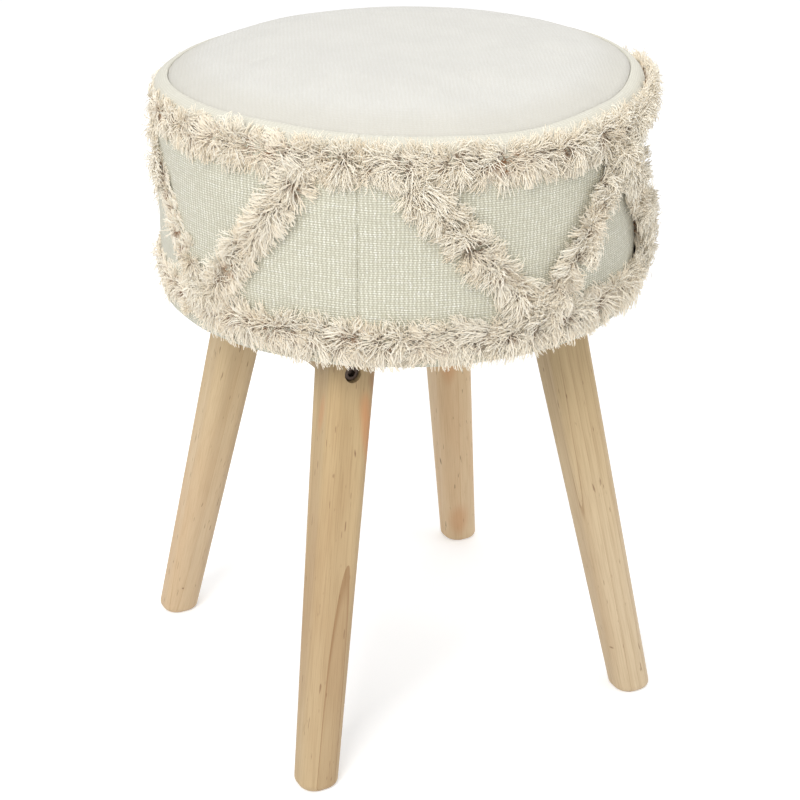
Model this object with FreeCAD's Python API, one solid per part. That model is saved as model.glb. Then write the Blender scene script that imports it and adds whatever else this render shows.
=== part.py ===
import FreeCAD, Part

import math
import os

from FreeCAD import Vector

# Round upholstered stool: a padded drum seat, covered in woven cotton with tufted bands, on four splayed
# pine legs. Each leg is bolted to the end of a rail, and the two rails are screwed under the drum's base.
# Millimetres, +Z up. The origin is on the floor under the middle of the seat. -Y is the front.

# Whole stool
SEAT_HEIGHT = 459.0  # floor to the crown of the seat
UNDERSIDE_HEIGHT = 298.0  # floor to the top of the legs and rails
COVER_RADIUS = 161.0  # outside of the cloth round the drum

# Cloth cover
COVER_THICKNESS = 1.6
SHOULDER_RADIUS = 10.5  # from the upright side over to the seam round the top
CROWN_HEIGHT = 17.0  # rise of the top panel above its seam
CROWN_EDGE_SHARE = 0.78  # of the panel's radius, in to where its rounded edge meets its gentle dome
CROWN_EDGE_RISE_SHARE = 0.82  # of the crown's height, which the rounded edge takes
SEAM_ROLL = 1.0  # rounding of each cloth edge down into the seam
HEM_BEND_RADIUS = 6.0  # from the upright side round under the drum
HEM_WIDTH = 16.0  # flat of the cloth that is stapled under the base

# Layers inside the cover
LAYER_GAP = 0.3  # between curved faces that lie on each other
WADDING_THICKNESS = 5.5
FOAM_SHARE = 0.21  # of the height from the hem to the seam, at the edge of the seat
WALL_THICKNESS = 4.0
TOP_BOARD_THICKNESS = 9.0
BASE_BOARD_THICKNESS = 12.0
DUST_COVER_THICKNESS = 0.6
DUST_COVER_MARGIN = 9.0  # from the outside of the cover in to the edge of the dust cover
DUST_COVER_SLOPE = 2.0  # width of the step down over the hem

# Posts between the two boards, one over each leg
POST_WIDTH = 32.0
POST_CHAMFER = 3.0

# Legs, square to the rails in section at the top and nearly round at the foot
LEG_INSET = 40.6  # from the edge of the base board in to the leg's axis, at the underside
LEG_SPLAY = 13.6  # degrees from upright
LEG_TOP_WIDTH = 33.0
LEG_FOOT_WIDTH = 28.0
LEG_TOP_CORNER = 7.5
LEG_FOOT_CORNER_SHARE = 0.43  # of the foot's width
FOOT_ROUNDING_SHARE = 0.35  # of the foot's corner

# Rails, each joining a front leg to a back leg
RAIL_HEIGHT = 30.0
RAIL_THICKNESS = 18.0
RAIL_OUTSET = 2.5  # of the rail's middle outside the leg's axis, at the bolt
RAIL_EDGE_CHAMFER = 1.5

# Leg bolts with their barrel nuts, and the dowels that stop the legs turning
BOLT_DIAMETER = 6.0
BOLT_LENGTH = 50.0
BOLT_HEAD_DIAMETER = 10.0
BOLT_HEAD_HEIGHT = 6.0
BOLT_CHAMFER = 0.5
BOLT_SOCKET_WIDTH = 5.0  # across the flats
BOLT_SOCKET_DEPTH = 3.0
BOLT_HEIGHT_SHARE = 1 / 3  # of the rail's height, from its lower edge
BOLT_HOLE_PLAY = 0.5  # on the diameter
COUNTERBORE_DEPTH = 8.0
COUNTERBORE_PLAY = 1.2  # on the diameter
NUT_DIAMETER = 10.0
NUT_LENGTH = 12.0
NUT_SETBACK = 18.0  # from the rail's end to the nut's axis
NUT_SLOT_WIDTH = 1.2
NUT_SLOT_DEPTH = 1.5
DOWEL_DIAMETER = 6.0
DOWEL_LENGTH = 30.0
DOWEL_CHAMFER = 1.0
DOWEL_HEIGHT_SHARE = 0.74  # of the rail's height, from its lower edge
HOLE_END_ROOM = 1.0  # past the end of a bolt or a dowel
PRESS_PLAY = 0.2  # on the diameter, round a nut, a dowel, a screw or a bolt's thread

# Wood screws
SCREW_DIAMETER = 4.0
SCREW_HEAD_DIAMETER = 8.0
SCREW_HEAD_HEIGHT = 2.6
SCREW_POINT_LENGTH = 5.0
RAIL_SCREW_LENGTH = 40.0
RAIL_SCREW_COUNT = 3
RAIL_SCREW_SPREAD_SHARE = 0.725  # of the way from the rail's middle to a bolt's end, out to the last screw
POST_SCREW_LENGTH = 25.0

# Tufted rings round the drum, and the zigzag of chevrons between them
RING_RISE = 9.0  # of the rings above the cloth
UPPER_RING_DROP = 4.0  # from the seam down to the upper ring
UPPER_RING_SHARE = 0.2  # of the height from the hem to the seam
LOWER_RING_LIFT = 2.0  # from the bottom of the cover up to the lower ring
LOWER_RING_SHARE = 0.207  # of the height from the hem to the seam
CHEVRON_COUNT = 6
CHEVRON_WIDTH_SHARE = 0.193  # of the height from the hem to the seam
CHEVRON_RISE = 9.5
CHEVRON_GAP = 0.5  # between an arm's end and a ring
CHEVRON_STATIONS = 7  # sections along each arm
SIDE_SEAM_AZIMUTH = -36.4  # degrees from the front towards +X to the upright seam in the side
SIDE_SEAM_PLAIN = 24.0  # degrees left plain between the chevrons at that seam

CUT_OVERRUN = 10.0  # how far a cut runs past the face that it opens

# Heights and radii that follow from the sizes above
SEAM_HEIGHT = SEAT_HEIGHT - CROWN_HEIGHT
SEAM_RADIUS = COVER_RADIUS - SHOULDER_RADIUS
SHOULDER_HEIGHT = SEAM_HEIGHT - SHOULDER_RADIUS
PANEL_RADIUS = SEAM_RADIUS - LAYER_GAP
CROWN_RADIUS = PANEL_RADIUS - SEAM_ROLL
WADDING_OUTER_RADIUS = COVER_RADIUS - COVER_THICKNESS - LAYER_GAP
WADDING_INNER_RADIUS = WADDING_OUTER_RADIUS - WADDING_THICKNESS
WALL_OUTER_RADIUS = WADDING_INNER_RADIUS - LAYER_GAP
WALL_INNER_RADIUS = WALL_OUTER_RADIUS - WALL_THICKNESS
BOARD_RADIUS = WALL_INNER_RADIUS - LAYER_GAP
BASE_BOTTOM = UNDERSIDE_HEIGHT + DUST_COVER_THICKNESS
BASE_TOP = BASE_BOTTOM + BASE_BOARD_THICKNESS
HEM_BOTTOM = BASE_BOTTOM - COVER_THICKNESS
SIDE_HEIGHT = SEAM_HEIGHT - HEM_BOTTOM
FOAM_EDGE_HEIGHT = SEAM_HEIGHT - COVER_THICKNESS - LAYER_GAP
TOP_BOARD_TOP = FOAM_EDGE_HEIGHT - SIDE_HEIGHT * FOAM_SHARE
TOP_BOARD_BOTTOM = TOP_BOARD_TOP - TOP_BOARD_THICKNESS
HEM_BEND_HEIGHT = HEM_BOTTOM + HEM_BEND_RADIUS
HEM_OUTER_RADIUS = COVER_RADIUS - HEM_BEND_RADIUS
HEM_INNER_RADIUS = HEM_OUTER_RADIUS - HEM_WIDTH
RAIL_BOTTOM = UNDERSIDE_HEIGHT - RAIL_HEIGHT
BOLT_HEIGHT = RAIL_BOTTOM + RAIL_HEIGHT * BOLT_HEIGHT_SHARE
DOWEL_HEIGHT = RAIL_BOTTOM + RAIL_HEIGHT * DOWEL_HEIGHT_SHARE
RING_BASE_RADIUS = COVER_RADIUS + LAYER_GAP
UPPER_RING_HIGH = SEAM_HEIGHT - UPPER_RING_DROP
UPPER_RING_LOW = UPPER_RING_HIGH - SIDE_HEIGHT * UPPER_RING_SHARE
UPPER_RING_MIDDLE = (UPPER_RING_LOW + UPPER_RING_HIGH) / 2
LOWER_RING_LOW = HEM_BOTTOM + LOWER_RING_LIFT
LOWER_RING_HIGH = LOWER_RING_LOW + SIDE_HEIGHT * LOWER_RING_SHARE
LOWER_RING_MIDDLE = (LOWER_RING_LOW + LOWER_RING_HIGH) / 2

UP = Vector(0, 0, 1)
ACROSS = Vector(1, 0, 0)
BACK = Vector(0, 1, 0)
CENTRE = Vector(0, 0, 0)
QUARTERS = {
    "front_left": (-1, -1),
    "front_right": (1, -1),
    "back_left": (-1, 1),
    "back_right": (1, 1),
}


def leg_axis(height):
    """Distance of a leg's axis from the middle, along X and along Y alike, at a height."""
    outward = math.tan(math.radians(LEG_SPLAY)) * (UNDERSIDE_HEIGHT - height)
    return (BOARD_RADIUS - LEG_INSET + outward) * math.cos(math.radians(45))


def leg_width(height):
    """Width of a leg across its flat faces, at a height."""
    return LEG_FOOT_WIDTH + (LEG_TOP_WIDTH - LEG_FOOT_WIDTH) * height / UNDERSIDE_HEIGHT


def leg_inner(height):
    """Distance of a leg's inner face from the middle, at a height."""
    return leg_axis(height) - leg_width(height) / 2


LEG_FOOT_CORNER = LEG_FOOT_WIDTH * LEG_FOOT_CORNER_SHARE
FOOT_ROUNDING = LEG_FOOT_CORNER * FOOT_ROUNDING_SHARE
RAIL_MIDDLE = leg_axis(BOLT_HEIGHT) + RAIL_OUTSET
BOLT_HEAD_SEAT = leg_inner(BOLT_HEIGHT) + leg_width(BOLT_HEIGHT) - COUNTERBORE_DEPTH
NUT_PLACE = leg_inner(BOLT_HEIGHT) - NUT_SETBACK
POST_PLACE = leg_axis(UNDERSIDE_HEIGHT)
BOLT_END = BOLT_HEAD_SEAT - BOLT_LENGTH
RAIL_SCREW_SPREAD = BOLT_END * RAIL_SCREW_SPREAD_SHARE


def at(radius, height):
    """A point of a profile in the XZ plane."""
    return Vector(radius, 0, height)


def line(start, end):
    return Part.LineSegment(start, end).toShape()


def arc(start, middle, end):
    return Part.Arc(start, middle, end).toShape()


def polygon(points):
    return [line(a, b) for a, b in zip(points, points[1:] + points[:1])]


def bend(centre, radius, *turns):
    """Points of a profile's arc, at angles in degrees from the outward direction towards up."""
    angles = [math.radians(turn) for turn in turns]
    return [centre + at(radius * math.cos(a), radius * math.sin(a)) for a in angles]


def revolve(edges):
    """The solid that a closed profile in the XZ plane makes round the Z axis."""
    solid = Part.Face(Part.Wire(edges)).revolve(CENTRE, UP, 360)
    return solid if solid.Volume > 0 else solid.reversed()


def disc(radius, bottom, top):
    return Part.makeCylinder(radius, top - bottom, at(0, bottom), UP)


def placed(shape, place):
    shape = shape.copy()
    shape.translate(place)
    return shape


def in_quarter(shape, quarter):
    """A shape that was made in the back right quarter, mirrored into another one."""
    side, end = QUARTERS[quarter]
    if side < 0:
        shape = shape.mirror(CENTRE, ACROSS)
    if end < 0:
        shape = shape.mirror(CENTRE, BACK)
    return shape


def in_all_quarters(shape):
    return [in_quarter(shape, quarter) for quarter in QUARTERS]


def on_both_rails(shapes):
    return shapes + [shape.mirror(CENTRE, ACROSS) for shape in shapes]


# Screws and bolts, with the holes that they fill


def screw(length):
    """A countersunk wood screw pointing up, with the face of its head at z = 0."""
    shank = SCREW_DIAMETER / 2
    points = [
        at(0, 0),
        at(SCREW_HEAD_DIAMETER / 2, 0),
        at(shank, SCREW_HEAD_HEIGHT),
        at(shank, length - SCREW_POINT_LENGTH),
        at(0, length),
    ]
    return revolve(polygon(points))


def screw_hole(length):
    """The countersunk hole that a screw fills, open past the face of its head."""
    shank = (SCREW_DIAMETER + PRESS_PLAY) / 2
    head = (SCREW_HEAD_DIAMETER + PRESS_PLAY) / 2
    points = [
        at(0, -CUT_OVERRUN),
        at(head, -CUT_OVERRUN),
        at(head, 0),
        at(shank, SCREW_HEAD_HEIGHT),
        at(shank, length - SCREW_POINT_LENGTH),
        at(0, length + PRESS_PLAY),
    ]
    return revolve(polygon(points))


def along_rails(make):
    """The screws up through both rails into the base board, or their holes."""
    pitch = 2 * RAIL_SCREW_SPREAD / (RAIL_SCREW_COUNT - 1)
    places = [pitch * i - RAIL_SCREW_SPREAD for i in range(RAIL_SCREW_COUNT)]
    made = make(RAIL_SCREW_LENGTH)
    return on_both_rails([placed(made, Vector(RAIL_MIDDLE, place, RAIL_BOTTOM)) for place in places])


def into_posts(make):
    """The screws through the base board and the top board into the posts, or their holes."""
    upward = make(POST_SCREW_LENGTH)
    downward = upward.mirror(CENTRE, UP)
    below = placed(upward, Vector(POST_PLACE, POST_PLACE, BASE_BOTTOM))
    above = placed(downward, Vector(POST_PLACE, POST_PLACE, TOP_BOARD_TOP))
    return in_all_quarters(below) + in_all_quarters(above)


def bolt_bore(diameter, start, end):
    """A cylinder along Y on the axis of the back right leg's bolt."""
    return Part.makeCylinder(diameter / 2, end - start, Vector(RAIL_MIDDLE, start, BOLT_HEIGHT), BACK)


def leg_bolt():
    """A socket-headed bolt along Y, its head outwards."""
    shank = BOLT_DIAMETER / 2
    head = BOLT_HEAD_DIAMETER / 2
    points = [
        at(0, -BOLT_LENGTH),
        at(shank - BOLT_CHAMFER, -BOLT_LENGTH),
        at(shank, BOLT_CHAMFER - BOLT_LENGTH),
        at(shank, 0),
        at(head, 0),
        at(head, BOLT_HEAD_HEIGHT - BOLT_CHAMFER),
        at(head - BOLT_CHAMFER, BOLT_HEAD_HEIGHT),
        at(0, BOLT_HEAD_HEIGHT),
    ]
    corner = at(BOLT_SOCKET_WIDTH / 2 / math.cos(math.radians(30)), BOLT_HEAD_HEIGHT - BOLT_SOCKET_DEPTH)
    hexagon = [FreeCAD.Rotation(UP, 60 * i).multVec(corner) for i in range(6)]
    socket = Part.Face(Part.Wire(polygon(hexagon))).extrude(at(0, BOLT_SOCKET_DEPTH + CUT_OVERRUN))
    bolt = revolve(polygon(points)).cut(socket)
    bolt.rotate(CENTRE, ACROSS, -90)
    return placed(bolt, Vector(RAIL_MIDDLE, BOLT_HEAD_SEAT, BOLT_HEIGHT))


def barrel_nut():
    """A cross nut with a screwdriver slot in the end that faces the middle of the stool."""
    start = Vector(RAIL_MIDDLE - NUT_LENGTH / 2, NUT_PLACE, BOLT_HEIGHT)
    nut = Part.makeCylinder(NUT_DIAMETER / 2, NUT_LENGTH, start, ACROSS)
    thread = bolt_bore(BOLT_DIAMETER + PRESS_PLAY, NUT_PLACE - NUT_DIAMETER, NUT_PLACE + NUT_DIAMETER)
    slot_corner = start - Vector(CUT_OVERRUN, NUT_DIAMETER, NUT_SLOT_WIDTH / 2)
    slot = Part.makeBox(CUT_OVERRUN + NUT_SLOT_DEPTH, 2 * NUT_DIAMETER, NUT_SLOT_WIDTH, slot_corner)
    return nut.cut([thread, slot])


def leg_dowel():
    """A chamfered dowel along Y, half in the leg and half in the rail."""
    radius = DOWEL_DIAMETER / 2
    half = DOWEL_LENGTH / 2
    points = [
        at(0, -half),
        at(radius - DOWEL_CHAMFER, -half),
        at(radius, DOWEL_CHAMFER - half),
        at(radius, half - DOWEL_CHAMFER),
        at(radius - DOWEL_CHAMFER, half),
        at(0, half),
    ]
    dowel = revolve(polygon(points))
    dowel.rotate(CENTRE, ACROSS, -90)
    return placed(dowel, Vector(RAIL_MIDDLE, leg_inner(DOWEL_HEIGHT), DOWEL_HEIGHT))


def dowel_hole():
    half = DOWEL_LENGTH / 2 + HOLE_END_ROOM
    start = Vector(RAIL_MIDDLE, leg_inner(DOWEL_HEIGHT) - half, DOWEL_HEIGHT)
    return Part.makeCylinder((DOWEL_DIAMETER + PRESS_PLAY) / 2, 2 * half, start, BACK)


# Legs and rails


def leg_section(height, corner):
    """A level square wire with round corners, about the leg's axis."""
    half = leg_width(height) / 2
    flat = half - corner
    bow = flat + corner * math.cos(math.radians(45))
    middle = Vector(leg_axis(height), leg_axis(height), height)
    edges = []
    for quarter in range(4):
        spin = FreeCAD.Rotation(UP, 90 * quarter)
        points = [Vector(half, flat, 0), Vector(bow, bow, 0), Vector(flat, half, 0), Vector(-flat, half, 0)]
        start, top, end, following = (middle + spin.multVec(point) for point in points)
        edges += [arc(start, top, end), line(end, following)]
    return Part.Wire(edges)


def leg():
    """The back right leg: tapered, splayed, round at the foot, drilled for its bolt and its dowel."""
    sections = [leg_section(0, LEG_FOOT_CORNER), leg_section(UNDERSIDE_HEIGHT, LEG_TOP_CORNER)]
    blank = Part.makeLoft(sections, True, True)
    foot = min(blank.Faces, key=lambda face: face.CenterOfMass.z)
    blank = blank.makeFillet(FOOT_ROUNDING, foot.Edges)
    inside = leg_inner(BOLT_HEIGHT) - CUT_OVERRUN
    outside = BOLT_HEAD_SEAT + COUNTERBORE_DEPTH + CUT_OVERRUN
    bore = bolt_bore(BOLT_DIAMETER + BOLT_HOLE_PLAY, inside, outside)
    counterbore = bolt_bore(BOLT_HEAD_DIAMETER + COUNTERBORE_PLAY, BOLT_HEAD_SEAT, outside)
    return blank.cut([bore, counterbore, dowel_hole()])


def rail():
    """The right rail, whose slanted ends lie on the inner faces of two legs."""
    side = RAIL_MIDDLE - RAIL_THICKNESS / 2
    corners = ((-1, UNDERSIDE_HEIGHT), (1, UNDERSIDE_HEIGHT), (1, RAIL_BOTTOM), (-1, RAIL_BOTTOM))
    outline = [Vector(side, end * leg_inner(height), height) for end, height in corners]
    bar = Part.Face(Part.Wire(polygon(outline))).extrude(ACROSS * RAIL_THICKNESS)
    lower_edges = [
        edge
        for edge in bar.Edges
        if edge.BoundBox.YLength > RAIL_THICKNESS and edge.BoundBox.ZMax < RAIL_BOTTOM + RAIL_EDGE_CHAMFER
    ]
    bar = bar.makeChamfer(RAIL_EDGE_CHAMFER, lower_edges)
    bolt_end = BOLT_END - HOLE_END_ROOM
    nut_mouth = Vector(side - CUT_OVERRUN, NUT_PLACE, BOLT_HEIGHT)
    nut_depth = CUT_OVERRUN + (RAIL_THICKNESS + NUT_LENGTH) / 2
    back_end = [
        bolt_bore(BOLT_DIAMETER + BOLT_HOLE_PLAY, bolt_end, leg_inner(BOLT_HEIGHT) + CUT_OVERRUN),
        Part.makeCylinder((NUT_DIAMETER + PRESS_PLAY) / 2, nut_depth, nut_mouth, ACROSS),
        dowel_hole(),
    ]
    front_end = [cutter.mirror(CENTRE, BACK) for cutter in back_end]
    return bar.cut(back_end + front_end + along_rails(screw_hole))


# The drum inside the cover


def base_board():
    return disc(BOARD_RADIUS, BASE_BOTTOM, BASE_TOP).cut(along_rails(screw_hole) + into_posts(screw_hole))


def top_board():
    return disc(BOARD_RADIUS, TOP_BOARD_BOTTOM, TOP_BOARD_TOP).cut(into_posts(screw_hole))


def post():
    corner = Vector(POST_PLACE - POST_WIDTH / 2, POST_PLACE - POST_WIDTH / 2, BASE_TOP)
    block = Part.makeBox(POST_WIDTH, POST_WIDTH, TOP_BOARD_BOTTOM - BASE_TOP, corner)
    upright = [edge for edge in block.Edges if edge.BoundBox.ZLength > POST_CHAMFER]
    return block.makeChamfer(POST_CHAMFER, upright).cut(into_posts(screw_hole))


def drum_wall():
    inside = disc(WALL_INNER_RADIUS, BASE_BOTTOM, TOP_BOARD_TOP)
    return disc(WALL_OUTER_RADIUS, BASE_BOTTOM, TOP_BOARD_TOP).cut(inside)


def dust_cover():
    """The thin cloth under the base, which steps down over the hem of the cover."""
    edge = COVER_RADIUS - DUST_COVER_MARGIN
    step_foot = HEM_INNER_RADIUS - LAYER_GAP
    step_head = step_foot - DUST_COVER_SLOPE
    lower = HEM_BOTTOM - DUST_COVER_THICKNESS
    points = [
        at(0, UNDERSIDE_HEIGHT),
        at(step_head - DUST_COVER_THICKNESS, UNDERSIDE_HEIGHT),
        at(step_foot - DUST_COVER_THICKNESS, lower),
        at(edge, lower),
        at(edge, HEM_BOTTOM),
        at(step_foot, HEM_BOTTOM),
        at(step_head, BASE_BOTTOM),
        at(0, BASE_BOTTOM),
    ]
    return revolve(polygon(points)).cut(along_rails(screw_hole))


# The padding and the cover, which share the rounded shoulder and the crown of the seat


def shoulder(inset, *turns):
    """Points round the shoulder, at a depth under the outside of the cover."""
    return bend(at(SEAM_RADIUS, SHOULDER_HEIGHT), SHOULDER_RADIUS - inset, *turns)


def shoulder_turn(inset, radius):
    """Degrees up the shoulder at which that depth reaches a distance from the Z axis."""
    return math.degrees(math.acos((radius - SEAM_RADIUS) / (SHOULDER_RADIUS - inset)))


def arc_about(centre, start, end):
    """The arc of a profile from one point to another, on the side away from its centre."""
    away = (start - centre).normalize() + (end - centre).normalize()
    return arc(start, centre + away.normalize() * (start - centre).Length, end)


def crown(rim_height):
    """The two arcs of the crowned top, from its rim over its rounded edge and then in to the Z axis."""
    rim, top = at(CROWN_RADIUS, rim_height), at(0, rim_height + CROWN_HEIGHT)
    knee = at(CROWN_RADIUS * CROWN_EDGE_SHARE, rim_height + CROWN_HEIGHT * CROWN_EDGE_RISE_SHARE)
    drop = (top - knee).z
    dome_centre = top - UP * ((knee.x**2 + drop**2) / (2 * drop))
    outward = (knee - dome_centre).normalize()
    edge_radius = (rim - knee).Length ** 2 / (2 * (knee - rim).dot(outward))
    return [arc_about(knee - outward * edge_radius, rim, knee), arc_about(dome_centre, knee, top)]


def seat_foam():
    """The foam pad on the top board, rounded at its shoulder and crowned on top."""
    inset = COVER_THICKNESS + LAYER_GAP
    start = shoulder_turn(inset, WALL_OUTER_RADIUS)
    edge = shoulder(inset, start, (start + 90) / 2, 90)
    corner = at(WALL_OUTER_RADIUS, TOP_BOARD_TOP)
    edges = [
        line(at(0, TOP_BOARD_TOP), corner),
        line(corner, edge[0]),
        arc(*edge),
        line(edge[2], at(CROWN_RADIUS, FOAM_EDGE_HEIGHT)),
        *crown(FOAM_EDGE_HEIGHT),
        line(at(0, FOAM_EDGE_HEIGHT + CROWN_HEIGHT), at(0, TOP_BOARD_TOP)),
    ]
    return revolve(edges)


def side_wadding():
    """The thin foam wrapped round the drum wall and the edge of the seat foam."""
    inset = COVER_THICKNESS + LAYER_GAP
    end = shoulder_turn(inset, WADDING_INNER_RADIUS)
    edge = shoulder(inset, 0, end / 2, end)
    foot_inner = at(WADDING_INNER_RADIUS, HEM_BEND_HEIGHT)
    foot_outer = at(WADDING_OUTER_RADIUS, HEM_BEND_HEIGHT)
    edges = [
        line(foot_inner, foot_outer),
        line(foot_outer, edge[0]),
        arc(*edge),
        line(edge[2], foot_inner),
    ]
    return revolve(edges)


def cover_top():
    """The crowned round panel of cloth, its edge rolled down into the seam."""
    lower = SEAM_HEIGHT - COVER_THICKNESS
    roll = bend(at(CROWN_RADIUS, SEAM_HEIGHT - SEAM_ROLL), SEAM_ROLL, 0, 45, 90)
    edges = [
        line(at(PANEL_RADIUS, lower), roll[0]),
        arc(*roll),
        *crown(SEAM_HEIGHT),
        line(at(0, SEAM_HEIGHT + CROWN_HEIGHT), at(0, lower + CROWN_HEIGHT)),
        *reversed(crown(lower)),
        line(at(CROWN_RADIUS, lower), at(PANEL_RADIUS, lower)),
    ]
    return revolve(edges)


def cover_side():
    """The band of cloth from the seam, over the shoulder, down the side and under the base to its hem."""
    foot = at(HEM_OUTER_RADIUS, HEM_BEND_HEIGHT)
    end = math.degrees(math.acos(SEAM_ROLL / SHOULDER_RADIUS))
    outer = shoulder(0, 0, end / 2, end)
    roll = bend(at(SEAM_RADIUS + SEAM_ROLL, SEAM_HEIGHT - SEAM_ROLL), SEAM_ROLL, 135, 180)
    inner = shoulder(COVER_THICKNESS, 90, 45, 0)
    inside = bend(foot, HEM_BEND_RADIUS - COVER_THICKNESS, 0, -45, -90)
    under = bend(foot, HEM_BEND_RADIUS, -90, -45, 0)
    hem = [at(HEM_INNER_RADIUS, BASE_BOTTOM), at(HEM_INNER_RADIUS, HEM_BOTTOM)]
    edges = [
        arc(*under),
        line(under[2], outer[0]),
        arc(*outer),
        arc(outer[2], *roll),
        line(roll[1], inner[0]),
        arc(*inner),
        line(inner[2], inside[0]),
        arc(*inside),
        line(inside[2], hem[0]),
        line(*hem),
        line(hem[1], under[0]),
    ]
    return revolve(edges)


# The tufted bands


def fringe_ring_lower():
    """The ring of tufts round the foot of the drum."""
    low = at(RING_BASE_RADIUS, LOWER_RING_LOW)
    high = at(RING_BASE_RADIUS, LOWER_RING_HIGH)
    crest = at(RING_BASE_RADIUS + RING_RISE, LOWER_RING_MIDDLE)
    return revolve([line(high, low), arc(low, crest, high)])


def fringe_ring_upper():
    """The ring of tufts under the seam, whose upper edge lies on the cover's shoulder."""
    reach = math.degrees(math.asin((UPPER_RING_HIGH - SHOULDER_HEIGHT) / (SHOULDER_RADIUS + LAYER_GAP)))
    edge = shoulder(-LAYER_GAP, reach, reach / 2, 0)
    low = at(RING_BASE_RADIUS, UPPER_RING_LOW)
    crest = at(RING_BASE_RADIUS + RING_RISE, UPPER_RING_MIDDLE)
    return revolve([arc(*edge), line(edge[2], low), arc(low, crest, edge[0])])


def arm_section(run, spread):
    """A D-shaped section across an arm, at a share of its run from the chevron's point up to its top."""
    rise = UPPER_RING_MIDDLE - LOWER_RING_MIDDLE
    turn = math.radians(spread * run)
    outward = Vector(math.cos(turn), math.sin(turn), 0)
    along = UP.cross(outward) * (RING_BASE_RADIUS * math.radians(spread)) + UP * rise
    along.normalize()
    across = outward.cross(along) * (SIDE_HEIGHT * CHEVRON_WIDTH_SHARE / 2)
    middle = outward * RING_BASE_RADIUS + UP * (LOWER_RING_MIDDLE + rise * run)
    low, high = middle - across, middle + across
    return Part.Wire([line(low, high), arc(high, middle + outward * CHEVRON_RISE, low)])


def chevron_arm(spread, limit):
    """An arm that climbs the side from azimuth 0, trimmed at its point, at a limit and at both rings."""
    runs = [2 * i / (CHEVRON_STATIONS - 1) - 1 / 2 for i in range(CHEVRON_STATIONS)]
    arm = Part.makeLoft([arm_section(run, spread) for run in runs], True, False)
    low = LOWER_RING_HIGH + CHEVRON_GAP
    high = UPPER_RING_LOW - CHEVRON_GAP
    outside = RING_BASE_RADIUS + CHEVRON_RISE + CUT_OVERRUN
    return arm.common(Part.makeCylinder(outside, high - low, at(0, low), UP, limit))


def chevrons():
    """The zigzag round the drum, one chevron after another from the upright seam round to it again."""
    pitch = (360 - SIDE_SEAM_PLAIN) / CHEVRON_COUNT
    inner = chevron_arm(pitch / 2, pitch / 2)
    outer = chevron_arm(pitch / 2, (pitch + SIDE_SEAM_PLAIN) / 2)
    first = SIDE_SEAM_AZIMUTH - 90 + (SIDE_SEAM_PLAIN + pitch) / 2
    shapes = []
    for i in range(CHEVRON_COUNT):
        right = outer if i == CHEVRON_COUNT - 1 else inner
        left = outer if i == 0 else inner
        chevron = right.fuse(left.mirror(CENTRE, BACK)).removeSplitter()
        chevron.rotate(CENTRE, UP, first + pitch * i)
        shapes.append(chevron)
    return shapes


def main():
    right_rail = rail()
    nodes = {
        "rail_right": right_rail,
        "rail_left": right_rail.mirror(CENTRE, ACROSS),
        "leg_bolts": Part.makeCompound(in_all_quarters(leg_bolt())),
        "barrel_nuts": Part.makeCompound(in_all_quarters(barrel_nut())),
        "leg_dowels": Part.makeCompound(in_all_quarters(leg_dowel())),
        "rail_screws": Part.makeCompound(along_rails(screw)),
        "base_board": base_board(),
        "top_board": top_board(),
        "post_screws": Part.makeCompound(into_posts(screw)),
        "drum_wall": drum_wall(),
        "dust_cover": dust_cover(),
        "seat_foam": seat_foam(),
        "side_wadding": side_wadding(),
        "cover_top": cover_top(),
        "cover_side": cover_side(),
        "fringe_ring_upper": fringe_ring_upper(),
        "fringe_ring_lower": fringe_ring_lower(),
    }
    one_leg = leg()
    one_post = post()
    for quarter in QUARTERS:
        nodes["leg_" + quarter] = in_quarter(one_leg, quarter)
        nodes["post_" + quarter] = in_quarter(one_post, quarter)
    for number, chevron in enumerate(chevrons(), start=1):
        nodes["fringe_chevron_%d" % number] = chevron

    os.makedirs("parts", exist_ok=True)
    for name, shape in nodes.items():
        if not shape.isValid() or not shape.Solids:
            raise ValueError("%s is not a valid solid" % name)
        shape.exportStep("parts/%s.step" % name)
        print("%-18s solids %d  volume %.1f cm3" % (name, len(shape.Solids), shape.Volume / 1000))


main()
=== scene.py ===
"""Round stool: a drum seat in woven cotton with tufted bands, on four splayed pine legs.

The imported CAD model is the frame. This script dresses it: cloth, padding and yarn replace
the soft solids, and each rigid node gets its finish. Metres, +Z up, the front towards -Y.
"""

import logging
import math
from dataclasses import dataclass
from enum import Enum
from functools import cache
from typing import Iterable, Sequence, Union

import bpy
import numpy as np
from mathutils import Matrix, Vector, noise


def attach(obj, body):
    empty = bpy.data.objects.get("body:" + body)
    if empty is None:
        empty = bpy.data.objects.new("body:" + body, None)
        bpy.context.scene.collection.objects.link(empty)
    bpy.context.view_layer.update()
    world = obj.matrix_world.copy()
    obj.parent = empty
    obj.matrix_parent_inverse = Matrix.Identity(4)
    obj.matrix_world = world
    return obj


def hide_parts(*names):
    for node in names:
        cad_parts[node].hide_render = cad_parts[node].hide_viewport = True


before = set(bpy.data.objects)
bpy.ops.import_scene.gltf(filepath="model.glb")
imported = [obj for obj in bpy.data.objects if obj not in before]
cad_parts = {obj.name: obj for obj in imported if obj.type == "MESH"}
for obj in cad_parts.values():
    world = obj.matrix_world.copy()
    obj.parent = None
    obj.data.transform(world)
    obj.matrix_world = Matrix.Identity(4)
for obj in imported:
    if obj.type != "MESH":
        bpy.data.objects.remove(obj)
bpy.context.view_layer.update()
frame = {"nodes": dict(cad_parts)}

MM = 0.001
BODY = "root"
CLOTH_MAP = "cloth"
UP = Vector((0, 0, 1)).freeze()
WHITE = (1.0, 1.0, 1.0, 1.0)
# The middle of a noise, and the ranges that most values of a plain and of a fibrous noise lie in.
NOISE_MIDDLE = (0.5, 0.5, 0.5)
NOISE_RANGE = (0.3, 0.7)
FIBRE_RANGE = (0.3, 0.8)
LOG = logging.getLogger("round_stool")

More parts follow.
